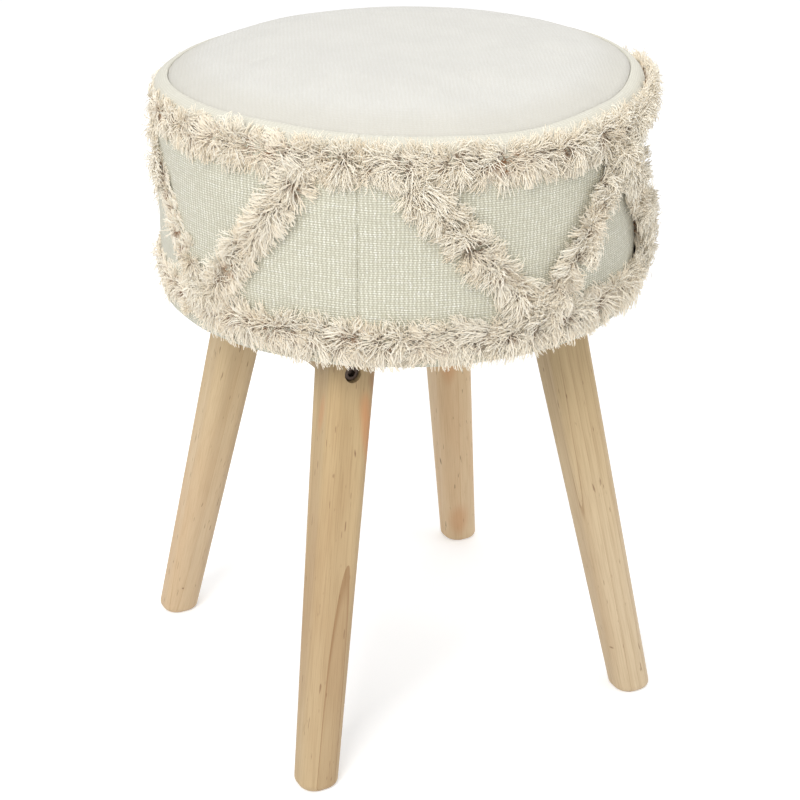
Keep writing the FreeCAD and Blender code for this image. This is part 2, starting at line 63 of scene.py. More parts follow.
Colour = tuple[float, float, float]
Place = tuple[float, float, float]
Spot = tuple[Vector, Vector, Vector]
Socket = bpy.types.NodeSocket
Value = Union[
    Socket, float, int, str, tuple, Vector, bpy.types.Material, bpy.types.Object, bpy.types.NodeTree
]


class Quarter(Enum):
    """The four corners of the frame, by their names in the CAD nodes."""

    FRONT_LEFT = "front_left"
    FRONT_RIGHT = "front_right"
    BACK_LEFT = "back_left"
    BACK_RIGHT = "back_right"


def linear(colour: Colour, share: float = 1.0) -> tuple[float, float, float, float]:
    """Turns a colour as seen, 0 to 255, into the scene's linear values.

    Args:
        colour: red, green and blue.
        share: how much of the light the colour keeps.

    Returns:
        Linear red, green, blue and a full alpha.
    """
    # The numbers are those of the usual curve between screen values and light.
    parts = [c / 255 for c in colour]
    flat = [p / 12.92 if p <= 0.04045 else ((p + 0.055) / 1.055) ** 2.4 for p in parts]
    return (flat[0] * share, flat[1] * share, flat[2] * share, 1.0)


def around(degrees: float) -> Vector:
    """The level direction at an azimuth, from the front towards +X."""
    return Vector((math.sin(math.radians(degrees)), -math.cos(math.radians(degrees)), 0))


def eased_round(values: Sequence[float], degrees: float) -> float:
    """A value at an azimuth, eased between values set evenly round from the front.

    Args:
        values: the values in order of azimuth.
        degrees: the azimuth.

    Returns:
        The value there.
    """
    turn = degrees % 360 * len(values) / 360
    index, share = int(turn) % len(values), turn % 1
    share = share * share * (3 - 2 * share)
    return values[index] * (1 - share) + values[(index + 1) % len(values)] * share


class Tree:
    """A node tree, with short calls that add nodes and join them."""

    def __init__(self, tree: bpy.types.NodeTree) -> None:
        """Keeps the tree that the calls work on."""
        self.tree = tree

    def put(self, socket: Socket, value: Value) -> None:
        """Joins a socket to another one, or sets its own value.

        Args:
            socket: the socket to fill.
            value: the socket that feeds it, or a plain value.
        """
        if isinstance(value, Socket):
            self.tree.links.new(value, socket)
        else:
            socket.default_value = value

    def add(
        self, kind: str, inputs: dict[str | int, Value] | None = None, **settings: Value
    ) -> bpy.types.Node:
        """Adds a node.

        Args:
            kind: Blender's name for the node.
            inputs: a value or a socket for each input, by its name or number.
            settings: the node's own settings.

        Returns:
            The new node.
        """
        node = self.tree.nodes.new(kind)
        for name, value in settings.items():
            setattr(node, name, value)
        for name, value in (inputs or {}).items():
            self.put(node.inputs[name], value)
        return node

    def math(self, operation: str, *values: Value) -> Socket:
        """The result of a sum on numbers."""
        return self.add("ShaderNodeMath", dict(enumerate(values)), operation=operation).outputs[0]

    def vector(self, operation: str, *values: Value) -> Socket:
        """The result of a sum on vectors."""
        node = self.add("ShaderNodeVectorMath", dict(enumerate(values)), operation=operation)
        return node.outputs["Value" if operation == "LENGTH" else "Vector"]

    def scaled(self, vector: Value, factor: Value) -> Socket:
        """A vector times a number."""
        return self.add("ShaderNodeVectorMath", {0: vector, "Scale": factor}, operation="SCALE").outputs[0]

    def total(self, *vectors: Value) -> Socket:
        """The sum of several vectors.

        Args:
            vectors: the vectors, at least two.

        Returns:
            Their sum.
        """
        result = vectors[0]
        for vector in vectors[1:]:
            result = self.vector("ADD", result, vector)
        return result

    def parts(self, vector: Value) -> tuple[Socket, ...]:
        """The three numbers of a vector."""
        return tuple(self.add("ShaderNodeSeparateXYZ", {0: vector}).outputs)

    def joined(self, x: Value, y: Value, z: Value = 0.0) -> Socket:
        """A vector from three numbers."""
        return self.add("ShaderNodeCombineXYZ", {0: x, 1: y, 2: z}).outputs[0]

    def ease(self, value: Value, low: float, high: float, start: float = 0.0, end: float = 1.0) -> Socket:
        """A smooth step of a value from start at low to end at high."""
        levels = {0: value, 1: low, 2: high, 3: start, 4: end}
        return self.add("ShaderNodeMapRange", levels, interpolation_type="SMOOTHSTEP").outputs[0]

    def noise(self, vector: Value, scale: Value, detail: float = 2.0, rough: float = 0.5) -> Socket:
        """Smooth noise from 0 to 1 at a place."""
        inputs = {"Vector": vector, "Scale": scale, "Detail": detail, "Roughness": rough}
        return self.add("ShaderNodeTexNoise", inputs).outputs[0]

    def wander(self, vector: Value, scale: Value) -> Socket:
        """A smooth random vector at a place, each part from -0.5 to 0.5."""
        cloud = self.add("ShaderNodeTexNoise", {"Vector": vector, "Scale": scale, "Detail": 2.0})
        return self.vector("SUBTRACT", cloud.outputs["Color"], NOISE_MIDDLE)

    def blend(self, factor: Value, a: Value, b: Value, how: str = "MIX") -> Socket:
        """A mix of two colours.

        Args:
            factor: how much of the second colour is laid over the first.
            a: the first colour.
            b: the second colour.
            how: Blender's name for the way they mix.

        Returns:
            The mixed colour.
        """
        node = self.add("ShaderNodeMix", data_type="RGBA", blend_type=how)
        for socket, value in zip((node.inputs[0], node.inputs[6], node.inputs[7]), (factor, a, b)):
            self.put(socket, value)
        return node.outputs[2]

    def bump(self, height: Value, strength: float, distance: float) -> Socket:
        """The normal that a height gives."""
        inputs = {"Height": height, "Strength": strength, "Distance": distance}
        return self.add("ShaderNodeBump", inputs).outputs[0]

    def use(self, group: bpy.types.NodeTree, inputs: dict[str, Value]) -> bpy.types.NodeOutputs:
        """Places a shader group and gives its outputs."""
        return self.add("ShaderNodeGroup", inputs, node_tree=group).outputs

    def named(self, name: str, kind: str = "FLOAT_VECTOR") -> Socket:
        """A value that the geometry stores under a name."""
        return self.add("GeometryNodeInputNamedAttribute", {"Name": name}, data_type=kind).outputs[0]

    def store(
        self, geometry: Value, name: str, value: Value, kind: str = "FLOAT_VECTOR", domain: str = "POINT"
    ) -> Socket:
        """The geometry with a value stored under a name."""
        inputs = {"Geometry": geometry, "Name": name, "Value": value}
        return self.add("GeometryNodeStoreNamedAttribute", inputs, data_type=kind, domain=domain).outputs[0]

    def chance(self, low: float, seed: Value) -> Socket:
        """A random vector for each point, each part from low to 1."""
        inputs = {0: (low, low, low), 1: (1, 1, 1), "Seed": seed}
        return self.add("FunctionNodeRandomValue", inputs, data_type="FLOAT_VECTOR").outputs[0]

    def finished(self, geometry: Value, material: Value) -> Socket:
        """The geometry as a real mesh with its finish, which is how a geometry tree ends."""
        real = self.add("GeometryNodeRealizeInstances", {0: geometry}).outputs[0]
        return self.add("GeometryNodeSetMaterial", {"Geometry": real, "Material": material}).outputs[0]


def new_group(
    name: str, kind: str, inputs: dict[str, str], outputs: dict[str, str]
) -> tuple[Tree, dict[str, Socket], dict[str, Socket]]:
    """Starts a node group.

    Args:
        name: the group's name.
        kind: "ShaderNodeTree" or "GeometryNodeTree".
        inputs: the type of each input socket, by name.
        outputs: the type of each output socket, by name.

    Returns:
        The tree, its inputs as sockets to read, and its outputs as sockets to fill.
    """
    tree = bpy.data.node_groups.new(name, kind)
    for way, sockets in (("INPUT", inputs), ("OUTPUT", outputs)):
        for label, socket in sockets.items():
            tree.interface.new_socket(name=label, in_out=way, socket_type="NodeSocket" + socket)
    start, end = tree.nodes.new("NodeGroupInput"), tree.nodes.new("NodeGroupOutput")
    return Tree(tree), {k: start.outputs[k] for k in inputs}, {k: end.inputs[k] for k in outputs}


# Shared patterns


class Patterns:
    """The shader node groups that several finishes share, each built once."""

    @staticmethod
    @cache
    def weave() -> bpy.types.NodeTree:
        """A plain weave of uneven threads, on a cloth map in metres.

        Returns:
            The group, with the threads' height, the painted shade between and under them, their thick streaks
            and their tone.
        """
        warp_apart = (0.55, 1.0, 1.0)
        wander_scale = 0.16
        wander_reach = 1.1
        crossing = 0.42
        warp_level = 0.52
        weft_level = 0.6
        merged = 0.1
        warp_streaks = (0.9, 0.22, 0.0)
        weft_streaks = (0.16, 0.9, 0.0)
        streak_range = (0.54, 0.74)
        upper_range = (-0.12, 0.12)
        thin_share = 0.8
        streak_share = 0.4
        gap_shade_range = (0.25, 0.95)
        takes = {"Cloth": "Vector", "Pitch": "Float", "Slub": "Float"}
        gives = {"Height": "Float", "Gap": "Float", "Streak": "Float", "Tone": "Float"}
        tree, given, result = new_group("plain_weave", "ShaderNodeTree", takes, gives)
        row = tree.scaled(given["Cloth"], tree.math("DIVIDE", 1.0, given["Pitch"]))
        place = tree.vector("MULTIPLY", row, warp_apart)
        shift = tree.scaled(tree.wander(place, wander_scale), wander_reach)
        x, y, _ = tree.parts(tree.total(place, shift))
        across, up = (tree.math("COSINE", tree.math("MULTIPLY", axis, math.pi)) for axis in (x, y))
        over = tree.math("MULTIPLY", tree.math("MULTIPLY", across, up), crossing)
        warp = tree.math("MULTIPLY", tree.math("ABSOLUTE", across), tree.math("ADD", warp_level, over))
        weft = tree.math("MULTIPLY", tree.math("ABSOLUTE", up), tree.math("SUBTRACT", weft_level, over))
        thread = tree.math("SMOOTH_MAX", warp, weft, merged)
        flat = tree.joined(x, y)
        long_warp = tree.noise(tree.vector("MULTIPLY", flat, warp_streaks), 1.0)
        long_weft = tree.noise(tree.vector("MULTIPLY", flat, weft_streaks), 1.0)
        longest = tree.math("MAXIMUM", long_warp, long_weft)
        streak = tree.math("MULTIPLY", tree.ease(longest, *streak_range), given["Slub"])
        upper = tree.ease(over, *upper_range)
        tone = tree.add("ShaderNodeMix", {0: upper, 2: long_weft, 3: long_warp}).outputs[0]
        thick = tree.math("MULTIPLY_ADD", streak, streak_share, thin_share)
        tree.put(result["Height"], tree.math("MULTIPLY", thread, thick))
        # Painted shade: threads that lie low or under others are darkened, as the weave's crevices are
        # shaded.
        tree.put(result["Gap"], tree.ease(thread, *gap_shade_range, 1.0, 0.0))
        tree.put(result["Streak"], streak)
        tree.put(result["Tone"], tree.ease(tone, *NOISE_RANGE))
        return tree.tree

    @staticmethod
    @cache
    def pine() -> bpy.types.NodeTree:
        """Growth rings and fibres of softwood, round a pith along Z.

        Returns:
            The group, with the late wood, the fibres, a slow tone and short dark dashes.
        """
        slow_along, short_along, fine_along = 0.22, 0.13, 0.02
        bend_scale = 14.0
        uneven_scale = 0.7
        edge_widths = (0.1 * MM, 0.4 * MM)
        edge_depth = 0.7
        late_start = 0.3
        late_depth = 0.3
        dash_scale = 620.0
        dash_range = (0.7, 0.77)
        fibre_scale = 1400.0
        tone_scale = 30.0
        takes = {"Wood": "Vector", "Ring": "Float", "Waver": "Float", "Uneven": "Float"}
        gives = {"Late": "Float", "Fibre": "Float", "Tone": "Float", "Dash": "Float"}
        tree, given, result = new_group("pine_grain", "ShaderNodeTree", takes, gives)
        slow, short, fine = (
            tree.vector("MULTIPLY", given["Wood"], (1.0, 1.0, along))
            for along in (slow_along, short_along, fine_along)
        )
        shift = tree.scaled(tree.wander(slow, bend_scale), given["Waver"])
        x, y, _ = tree.parts(tree.total(given["Wood"], shift))
        far = tree.vector("LENGTH", tree.joined(x, y))
        count = tree.math("DIVIDE", far, given["Ring"])
        uneven = tree.math("MULTIPLY", tree.noise(tree.joined(count, 0.0), uneven_scale), given["Uneven"])
        ring = tree.math("FRACT", tree.math("ADD", count, uneven))
        left = tree.math("MULTIPLY", tree.math("SUBTRACT", 1.0, ring), given["Ring"])
        edge = tree.ease(left, *edge_widths, edge_depth, 0.0)
        late = tree.math("MULTIPLY_ADD", tree.ease(ring, late_start, 1.0), late_depth, edge)
        tree.put(result["Late"], late)
        tree.put(result["Dash"], tree.ease(tree.noise(short, dash_scale, 1.0), *dash_range))
        tree.put(result["Fibre"], tree.noise(fine, fibre_scale, 3.0, 0.6))
        tree.put(result["Tone"], tree.noise(slow, tone_scale, 3.0))
        return tree.tree

    @staticmethod
    @cache
    def mark() -> bpy.types.NodeTree:
        """A soft-edged spot in wood, such as a knot or a streak of resin.

        Returns:
            The group, with the spot's mask.
        """
        core_share = 0.25
        takes = {"Place": "Vector", "Centre": "Vector", "Reach": "Vector"}
        tree, given, result = new_group("wood_mark", "ShaderNodeTree", takes, {"Mask": "Float"})
        away = tree.vector("SUBTRACT", given["Place"], given["Centre"])
        far = tree.vector("LENGTH", tree.vector("DIVIDE", away, given["Reach"]))
        tree.put(result["Mask"], tree.ease(far, core_share, 1.0, 1.0, 0.0))
        return tree.tree

    @staticmethod
    @cache
    def speckle() -> bpy.types.NodeTree:
        """Fine and coarse unevenness of a surface with no direction.

        Returns:
            The group, with both kinds of unevenness.
        """
        coarse_share = 0.08
        takes, gives = {"Place": "Vector", "Grain": "Float"}, {"Fine": "Float", "Coarse": "Float"}
        tree, given, result = new_group("speckle", "ShaderNodeTree", takes, gives)
        size = tree.math("DIVIDE", 1.0, given["Grain"])
        coarse = tree.math("MULTIPLY", size, coarse_share)
        tree.put(result["Fine"], tree.noise(given["Place"], size, 3.0, 0.6))
        tree.put(result["Coarse"], tree.noise(given["Place"], coarse))
        return tree.tree


# Finishes


def new_material(name: str, **sockets: float) -> tuple[bpy.types.Material, Tree, bpy.types.Node]:
    """Starts a material.

    Args:
        name: the material's name.
        sockets: values of the shader's own sockets, with _ for a space.

    Returns:
        The material, its tree and its shader.
    """
    material = bpy.data.materials.new(name)
    material.use_nodes = True
    tree = Tree(material.node_tree)
    tree.tree.nodes.clear()
    shader = tree.add("ShaderNodeBsdfPrincipled")
    tree.add("ShaderNodeOutputMaterial", {"Surface": shader.outputs[0]})
    for label, value in sockets.items():
        shader.inputs[label.replace("_", " ")].default_value = value
    return material, tree, shader


@dataclass(frozen=True)
class Cotton:
    """Woven cotton, with its colours as seen and its weave in metres.

    Attributes:
        name: the material's name.
        thread: colour of the threads.
        gap_shade_and_dark_thread: painted shade between and under the threads, and the tone of the darker
            threads.
        slub: colour of the thick streaks.
        pitch: from one thread to the next.
        gap_shade_share: how dark the painted shade between the threads is.
        depth: height of the threads.
        uneven: how much the threads differ in tone.
        slubs: how strong the thick streaks are.
        turn: degrees that the weave is turned on its map.
        rim: distance from the middle of the map where the painted shade between the threads starts to spread
            over them, if it does.
        rim_width: the way over which it spreads.
        rim_share: how far it spreads.
        shoulder_shade: height on the map where painted shade starts towards the shoulder and the seam, with a
            flatter weave, if it does.
        shoulder_shade_width: the way over which the painted shade comes in.
        shoulder_shade_share: how far the cloth darkens.
        shoulder_shade_colour: colour of the painted shade.
        cloud_scale: scale per metre of the soft change in tone.
        cloud_share: the light that the darker places keep.
    """

    name: str
    thread: Colour
    gap_shade_and_dark_thread: Colour
    slub: Colour
    pitch: float
    gap_shade_share: float
    depth: float
    uneven: float
    slubs: float
    turn: float = 0.0
    rim: float | None = None
    rim_width: float = 25.0 * MM
    rim_share: float = 0.4
    shoulder_shade: float | None = None
    shoulder_shade_width: float = 8.0 * MM
    shoulder_shade_share: float = 0.75
    shoulder_shade_colour: Colour = (206, 203, 191)
    cloud_scale: float = 28.0
    cloud_share: float = 0.95

    def material(self) -> bpy.types.Material:
        """Builds the material on the piece's cloth map.

        Returns:
            The material.
        """
        made, tree, shader = new_material(
            self.name, Roughness=0.88, Sheen_Weight=0.18, Sheen_Roughness=0.5
        )
        cloth = tree.add("ShaderNodeUVMap", uv_map=CLOTH_MAP).outputs[0]
        turn = (0.0, 0.0, math.radians(self.turn))
        place = tree.add("ShaderNodeMapping", {"Vector": cloth, "Rotation": turn}).outputs[0]
        weave = tree.use(Patterns.weave(), {"Cloth": place, "Pitch": self.pitch, "Slub": self.slubs})
        soft = tree.ease(tree.noise(place, self.cloud_scale, 3.0), *NOISE_RANGE)
        plain = tree.blend(soft, linear(self.thread, self.cloud_share), linear(self.thread))
        plain = tree.blend(weave["Tone"], tree.blend(self.uneven, plain, linear(self.gap_shade_and_dark_thread)), plain)
        slubbed = tree.blend(weave["Streak"], plain, linear(self.slub))
        # Painted shade between and under the threads, which spreads over them near the rim where one is set.
        gap_shade_mask = tree.math("MULTIPLY", weave["Gap"], self.gap_shade_share)
        if self.rim is not None:
            far = tree.vector("LENGTH", cloth)
            edge = tree.ease(far, self.rim, self.rim + self.rim_width, 0.0, self.rim_share)
            gap_shade_mask = tree.math("MULTIPLY_ADD", tree.math("SUBTRACT", 1.0, gap_shade_mask), edge, gap_shade_mask)
        colour, height = tree.blend(gap_shade_mask, slubbed, linear(self.gap_shade_and_dark_thread)), weave["Height"]
        # Painted shade over the shoulder and into the seam: above a height on the map the cloth darkens to
        # one colour and its weave flattens.
        if self.shoulder_shade is not None:
            level = tree.parts(cloth)[1]
            over = tree.ease(level, self.shoulder_shade, self.shoulder_shade + self.shoulder_shade_width, 0.0, self.shoulder_shade_share)
            colour = tree.blend(over, colour, linear(self.shoulder_shade_colour))
            height = tree.math("MULTIPLY", height, tree.math("SUBTRACT", 1.0, over))
        tree.put(shader.inputs["Base Color"], colour)
        tree.put(shader.inputs["Normal"], tree.bump(height, 1.0, self.depth))
        return made


@dataclass(frozen=True)
class Yarn:
    """Cut cotton yarn, with painted shade at its root: darker at its root than at its tip."""

    name: str = "fringe_yarn"
    pale: Colour = (255, 250, 236)
    warm: Colour = (254, 240, 216)
    # The root colour is painted shade, where the yarns shade each other near the cloth.
    root: Colour = (140, 98, 52)
    shaded: float = 0.48
    rough: tuple[float, float] = (0.95, 0.85)

    def material(self) -> bpy.types.Material:
        """Builds the material on the yarns' own attributes.

        Returns:
            The material.
        """
        made, tree, shader = new_material(self.name, Sheen_Weight=0.2, Sheen_Roughness=0.6)
        tone, reach = (
            tree.add("ShaderNodeAttribute", attribute_name=name).outputs["Fac"] for name in ("tone", "reach")
        )
        tip = tree.blend(tone, linear(self.warm), linear(self.pale))
        # Painted shade: each yarn darkens from its tip to the root colour towards the cloth.
        colour = tree.blend(tree.ease(reach, 0.0, self.shaded), linear(self.root), tip)
        tree.put(shader.inputs["Base Color"], colour)
        tree.put(shader.inputs["Roughness"], tree.ease(tone, 0.0, 1.0, *self.rough))
        return made


@dataclass(frozen=True)
class WoodMark:
    """A knot, a resin streak or a tint in a piece of wood, placed in the shared frame."""

    centre: Place
    reach: Place
    depth: float
    colour: Colour = (110, 72, 40)


@dataclass(frozen=True)
class Pine:
    """Softwood cut from a log.

    Attributes:
        name: the material's name.
        pith: a point on the middle of the log, in the shared frame.
        tilt: degrees that the log is turned about X, Y and Z.
        early: colour of the early wood.
        late: colour of the late wood.
        ring: width of a growth ring.
        waver: how far the rings waver.
        uneven: how much the rings differ in width.
        contrast: how strong the late wood is.
        gloss: roughness of the smoothest places.
        seat_shade: painted shade under the seat, what the colour is multiplied by near it.
        marks: knots, streaks and tints.
        seat_shade_heights: heights where the painted shade starts and where it is full.
        clouds: how strong the slow change in tone is.
        fibres: how strong the fibres are.
        dashes: how strong the short dashes are.
        dash: colour of the dashes.
        dulled: how much rougher the roughest places are.
        relief: height of the grain.
    """

    name: str
    pith: Place
    tilt: Place
    early: Colour = (201, 176, 139)
    late: Colour = (172, 134, 90)
    ring: float = 4.5 * MM
    waver: float = 4.0 * MM
    uneven: float = 1.0
    contrast: float = 0.75
    gloss: float = 0.5
    seat_shade: tuple[float, float, float] = (1.0, 1.0, 1.0)
    marks: tuple[WoodMark, ...] = ()
    seat_shade_heights: tuple[float, float] = (60.0 * MM, 300.0 * MM)
    clouds: float = 0.3
    fibres: float = 0.28
    dashes: float = 0.6
    dash: Colour = (112, 74, 42)
    dulled: float = 0.16
    relief: float = 0.15 * MM

    def material(self) -> bpy.types.Material:
        """Builds the material on Object coordinates.

        Returns:
            The material.
        """
        upper_range = (0.4, 0.75)
        cloud_light = 1.2
        fibre_light = 0.85
        late_relief = 0.5
        bump_strength = 0.35
        made, tree, shader = new_material(self.name)
        place = tree.add("ShaderNodeTexCoord").outputs["Object"]
        turn = tuple(math.radians(a) for a in self.tilt)
        placing = {"Vector": place, "Location": self.pith, "Rotation": turn}
        wood = tree.add("ShaderNodeMapping", placing, vector_type="TEXTURE").outputs[0]
        sizes = {"Ring": self.ring, "Waver": self.waver, "Uneven": self.uneven}
        grain = tree.use(Patterns.pine(), {"Wood": wood, **sizes})
        lines = tree.math("MULTIPLY", grain["Late"], self.contrast)
        colour = tree.blend(lines, linear(self.early), linear(self.late))
        clouds = tree.ease(grain["Tone"], *upper_range, 0.0, self.clouds)
        colour = tree.blend(clouds, colour, linear(self.late, cloud_light))
        fibres = tree.ease(grain["Fibre"], *upper_range, 0.0, self.fibres)
        colour = tree.blend(fibres, colour, linear(self.late, fibre_light))
        dashes = tree.math("MULTIPLY", grain["Dash"], self.dashes)
        colour = tree.blend(dashes, colour, linear(self.dash))
        # Painted shade of the seat: the wood is darker towards its top, under the drum.
        high = tree.ease(tree.parts(place)[2], *self.seat_shade_heights)
        colour = tree.blend(high, colour, tree.blend(1.0, colour, (*self.seat_shade, 1.0), "MULTIPLY"))
        for mark in self.marks:
            spot = tree.use(Patterns.mark(), {"Place": place, "Centre": mark.centre, "Reach": mark.reach})
            depth = tree.math("MULTIPLY", spot["Mask"], mark.depth)
            colour = tree.blend(depth, colour, linear(mark.colour))
        tree.put(shader.inputs["Base Color"], colour)
        rough = tree.ease(grain["Fibre"], *FIBRE_RANGE, self.gloss, self.gloss + self.dulled)
        tree.put(shader.inputs["Roughness"], rough)
        relief = tree.math("MULTIPLY_ADD", grain["Late"], late_relief, grain["Fibre"])
        tree.put(shader.inputs["Normal"], tree.bump(relief, bump_strength, self.relief))
        return made


@dataclass(frozen=True)
class Plywood:
    """Thin plies of pale wood, with their edges in bands up the piece and the log's tilt in radians."""

    name: str
    face: Colour = (214, 182, 138)
    edge: Colour = (150, 108, 66)
    ply: float = 1.5 * MM
    pith: Place = (0.0, 0.0, -0.9)
    tilt: Place = (math.radians(87), 0.0, 0.2)
    ring: float = 5.0 * MM
    waver: float = 12.0 * MM
    contrast: float = 0.5
    ply_share: float = 0.25
    rough: tuple[float, float] = (0.6, 0.8)
    relief: float = 0.15 * MM

    def material(self) -> bpy.types.Material:
        """Builds the material on Object coordinates.

        Returns:
            The material.
        """
        glue_range = (0.4, 0.6)
        bump_strength = 0.3
        made, tree, shader = new_material(self.name)
        place = tree.add("ShaderNodeTexCoord").outputs["Object"]
        placing = {"Vector": place, "Location": self.pith, "Rotation": self.tilt}
        wood = tree.add("ShaderNodeMapping", placing, vector_type="TEXTURE").outputs[0]
        sizes = {"Ring": self.ring, "Waver": self.waver, "Uneven": 1.0}
        grain = tree.use(Patterns.pine(), {"Wood": wood, **sizes})
        layer = tree.math("PINGPONG", tree.math("DIVIDE", tree.parts(place)[2], self.ply), 1.0)
        lines = tree.math("MULTIPLY", grain["Late"], self.contrast)
        face = tree.blend(lines, linear(self.face), linear(self.edge))
        plies = tree.ease(layer, *glue_range, 0.0, self.ply_share)
        tree.put(shader.inputs["Base Color"], tree.blend(plies, face, linear(self.edge)))
        tree.put(shader.inputs["Roughness"], tree.ease(grain["Fibre"], *FIBRE_RANGE, *self.rough))
        tree.put(shader.inputs["Normal"], tree.bump(grain["Fibre"], bump_strength, self.relief))
        return made


@dataclass(frozen=True)
class Speckled:
    """A finish whose only pattern is its unevenness: foam, wadding, thread, thin cloth or steel."""

    name: str
    light: Colour
    dark: Colour
    grain: float
    rough: tuple[float, float]
    depth: float
    metallic: float = 0.0

    def material(self) -> bpy.types.Material:
        """Builds the material on Object coordinates.

        Returns:
            The material.
        """
        fine_share = coarse_share = 0.5
        mixed_range = (0.35, 0.65)
        bump_strength = 0.4
        made, tree, shader = new_material(self.name, Metallic=self.metallic)
        place = tree.add("ShaderNodeTexCoord").outputs["Object"]
        spots = tree.use(Patterns.speckle(), {"Place": place, "Grain": self.grain})
        fine = tree.math("MULTIPLY", spots["Fine"], fine_share)
        mixed = tree.math("MULTIPLY_ADD", spots["Coarse"], coarse_share, fine)
        colour = tree.blend(tree.ease(mixed, *mixed_range), linear(self.dark), linear(self.light))
        tree.put(shader.inputs["Base Color"], colour)
        tree.put(shader.inputs["Roughness"], tree.ease(spots["Coarse"], *NOISE_RANGE, *self.rough))
        tree.put(shader.inputs["Normal"], tree.bump(spots["Fine"], bump_strength, self.depth))
        return made


# Meshes


def in_scene(name: str, data: bpy.types.ID) -> bpy.types.Object:
    """Puts data in the scene as an object.

    Args:
        name: the object's name.
        data: its mesh, lamp or camera.

    Returns:
        The object.
    """
    made = bpy.data.objects.new(name, data)
    bpy.context.scene.collection.objects.link(made)
    return made


def mesh_of(name: str, points: Sequence[Place], faces: Sequence[Sequence[int]]) -> bpy.types.Mesh:
    """Makes a mesh.

    Args:
        name: the mesh's name.
        points: its points.
        faces: the points of each face, by number.

    Returns:
        The mesh.
    """
    mesh = bpy.data.meshes.new(name)
    mesh.from_pydata(points, [], faces)
    return mesh


def store_at(mesh: bpy.types.Mesh, name: str, values: Sequence[Vector | float]) -> None:
    """Stores a vector or a number at each point of a mesh.

    Args:
        mesh: the mesh.
        name: the name to store them under.
        values: one for each point.
    """
    data = np.array(values, np.float32)
    kind, field = ("FLOAT", "value") if data.ndim == 1 else ("FLOAT_VECTOR", "vector")
    mesh.attributes.new(name, kind, "POINT").data.foreach_set(field, data.ravel())


def show(name: str, mesh: bpy.types.Mesh, material: bpy.types.Material) -> bpy.types.Object:
    """Puts a mesh in the scene as a piece of the stool.

    Args:
        name: the piece's name.
        mesh: its mesh, in place.
        material: its finish.

    Returns:
        The piece, riding on the stool's one body.
    """
    mesh.materials.clear()
    mesh.materials.append(material)
    piece = in_scene(name, mesh)
    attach(piece, BODY)
    LOG.info("%s: %d faces", name, len(mesh.polygons))
    return piece


def thicken(piece: bpy.types.Object, thickness: float) -> None:
    """Gives a sheet of cloth its thickness, inwards.

    Args:
        piece: the sheet, as its outer face.
        thickness: of the cloth.
    """
    wall = piece.modifiers.new("cloth", "SOLIDIFY")
    wall.thickness = thickness
    wall.offset = -1.0


class Ends(Enum):
    """What a grid of points does at its first and last rows."""

    OPEN = "open"
    CAPPED = "capped"
    JOINED = "joined"


def skin(
    name: str, grid: np.ndarray, maps: np.ndarray | None = None, ends: Ends = Ends.OPEN
) -> bpy.types.Mesh:
    """A mesh of quads over a grid of points whose last column joins the first.

    Args:
        name: the mesh's name.
        grid: points, as rows of columns.
        maps: a cloth map's places, with one column more than the grid.
        ends: what the first and last rows do.

    Returns:
        The mesh, shaded smooth.
    """
    rows, columns = grid.shape[:2]
    count = rows if ends is Ends.JOINED else rows - 1
    row, column = np.meshgrid(np.arange(count), np.arange(columns), indexing="ij")
    above, after = (row + 1) % rows, (column + 1) % columns
    corners = [(row, column), (row, after), (above, after), (above, column)]
    faces = np.stack([r * columns + c for r, c in corners], axis=-1).reshape(-1, 4).tolist()
    if ends is Ends.CAPPED:
        last = (rows - 1) * columns
        faces += [list(range(columns))[::-1], list(range(last, last + columns))]
    mesh = mesh_of(name, grid.reshape(-1, 3).tolist(), faces)
    if maps is not None:
        places = [(row, column), (row, column + 1), (row + 1, column + 1), (row + 1, column)]
        spots = np.stack([maps[r, c] for r, c in places], axis=-2)
        mesh.uv_layers.new(name=CLOTH_MAP).data.foreach_set("uv", spots.astype(np.float32).ravel())
    mesh.shade_smooth()
    return mesh


def round_grid(steps: int) -> tuple[np.ndarray, list[tuple[int, ...]]]:
    """A round sheet of even quads.

    Args:
        steps: quads along each side of the square that is bent to a disc.

    Returns:
        Points in the unit disc, and faces.
    """
    side = np.linspace(-1, 1, steps + 1)
    a, b = np.meshgrid(side, side, indexing="ij")
    wide = np.abs(a) > np.abs(b)
    reach, other = np.where(wide, a, b), np.where(wide, b, a)
    turn = math.pi / 4 * np.divide(other, reach, out=np.zeros_like(other), where=reach != 0)
    x = np.where(wide, reach * np.cos(turn), reach * np.sin(turn))
    y = np.where(wide, reach * np.sin(turn), reach * np.cos(turn))
    width = steps + 1
    first = [i * width + j for i in range(steps) for j in range(steps)]
    faces = [(k, k + width, k + width + 1, k + 1) for k in first]
    return np.stack([x, y], axis=-1).reshape(-1, 2), faces


def evaluated(piece: bpy.types.Object, name: str) -> bpy.types.Mesh:
    """Takes the mesh that an object's modifiers give, and removes the object.

    Args:
        piece: the object.
        name: the new mesh's name.

    Returns:
        The result as a plain mesh.
    """
    graph = bpy.context.evaluated_depsgraph_get()
    mesh = bpy.data.meshes.new_from_object(
        piece.evaluated_get(graph), preserve_all_data_layers=True, depsgraph=graph
    )
    mesh.name = name
    bpy.data.objects.remove(piece)
    return mesh


def grown(source: bpy.types.Mesh, tree: bpy.types.NodeTree, values: dict[str, Value]) -> bpy.types.Mesh:
    """Runs a Geometry Nodes tree on a mesh.

    Args:
        source: the mesh that the tree starts from.
        tree: the tree, whose first input is the geometry.
        values: the tree's other inputs, by name.

    Returns:
        The result as a plain mesh.
    """
    holder = in_scene(source.name + "_grown", source)
    modifier = holder.modifiers.new("grown", "NODES")
    modifier.node_group = tree
    for item in tree.interface.items_tree:
        if item.in_out == "INPUT" and item.name in values:
            modifier[item.identifier] = values[item.name]
    return evaluated(holder, source.name)


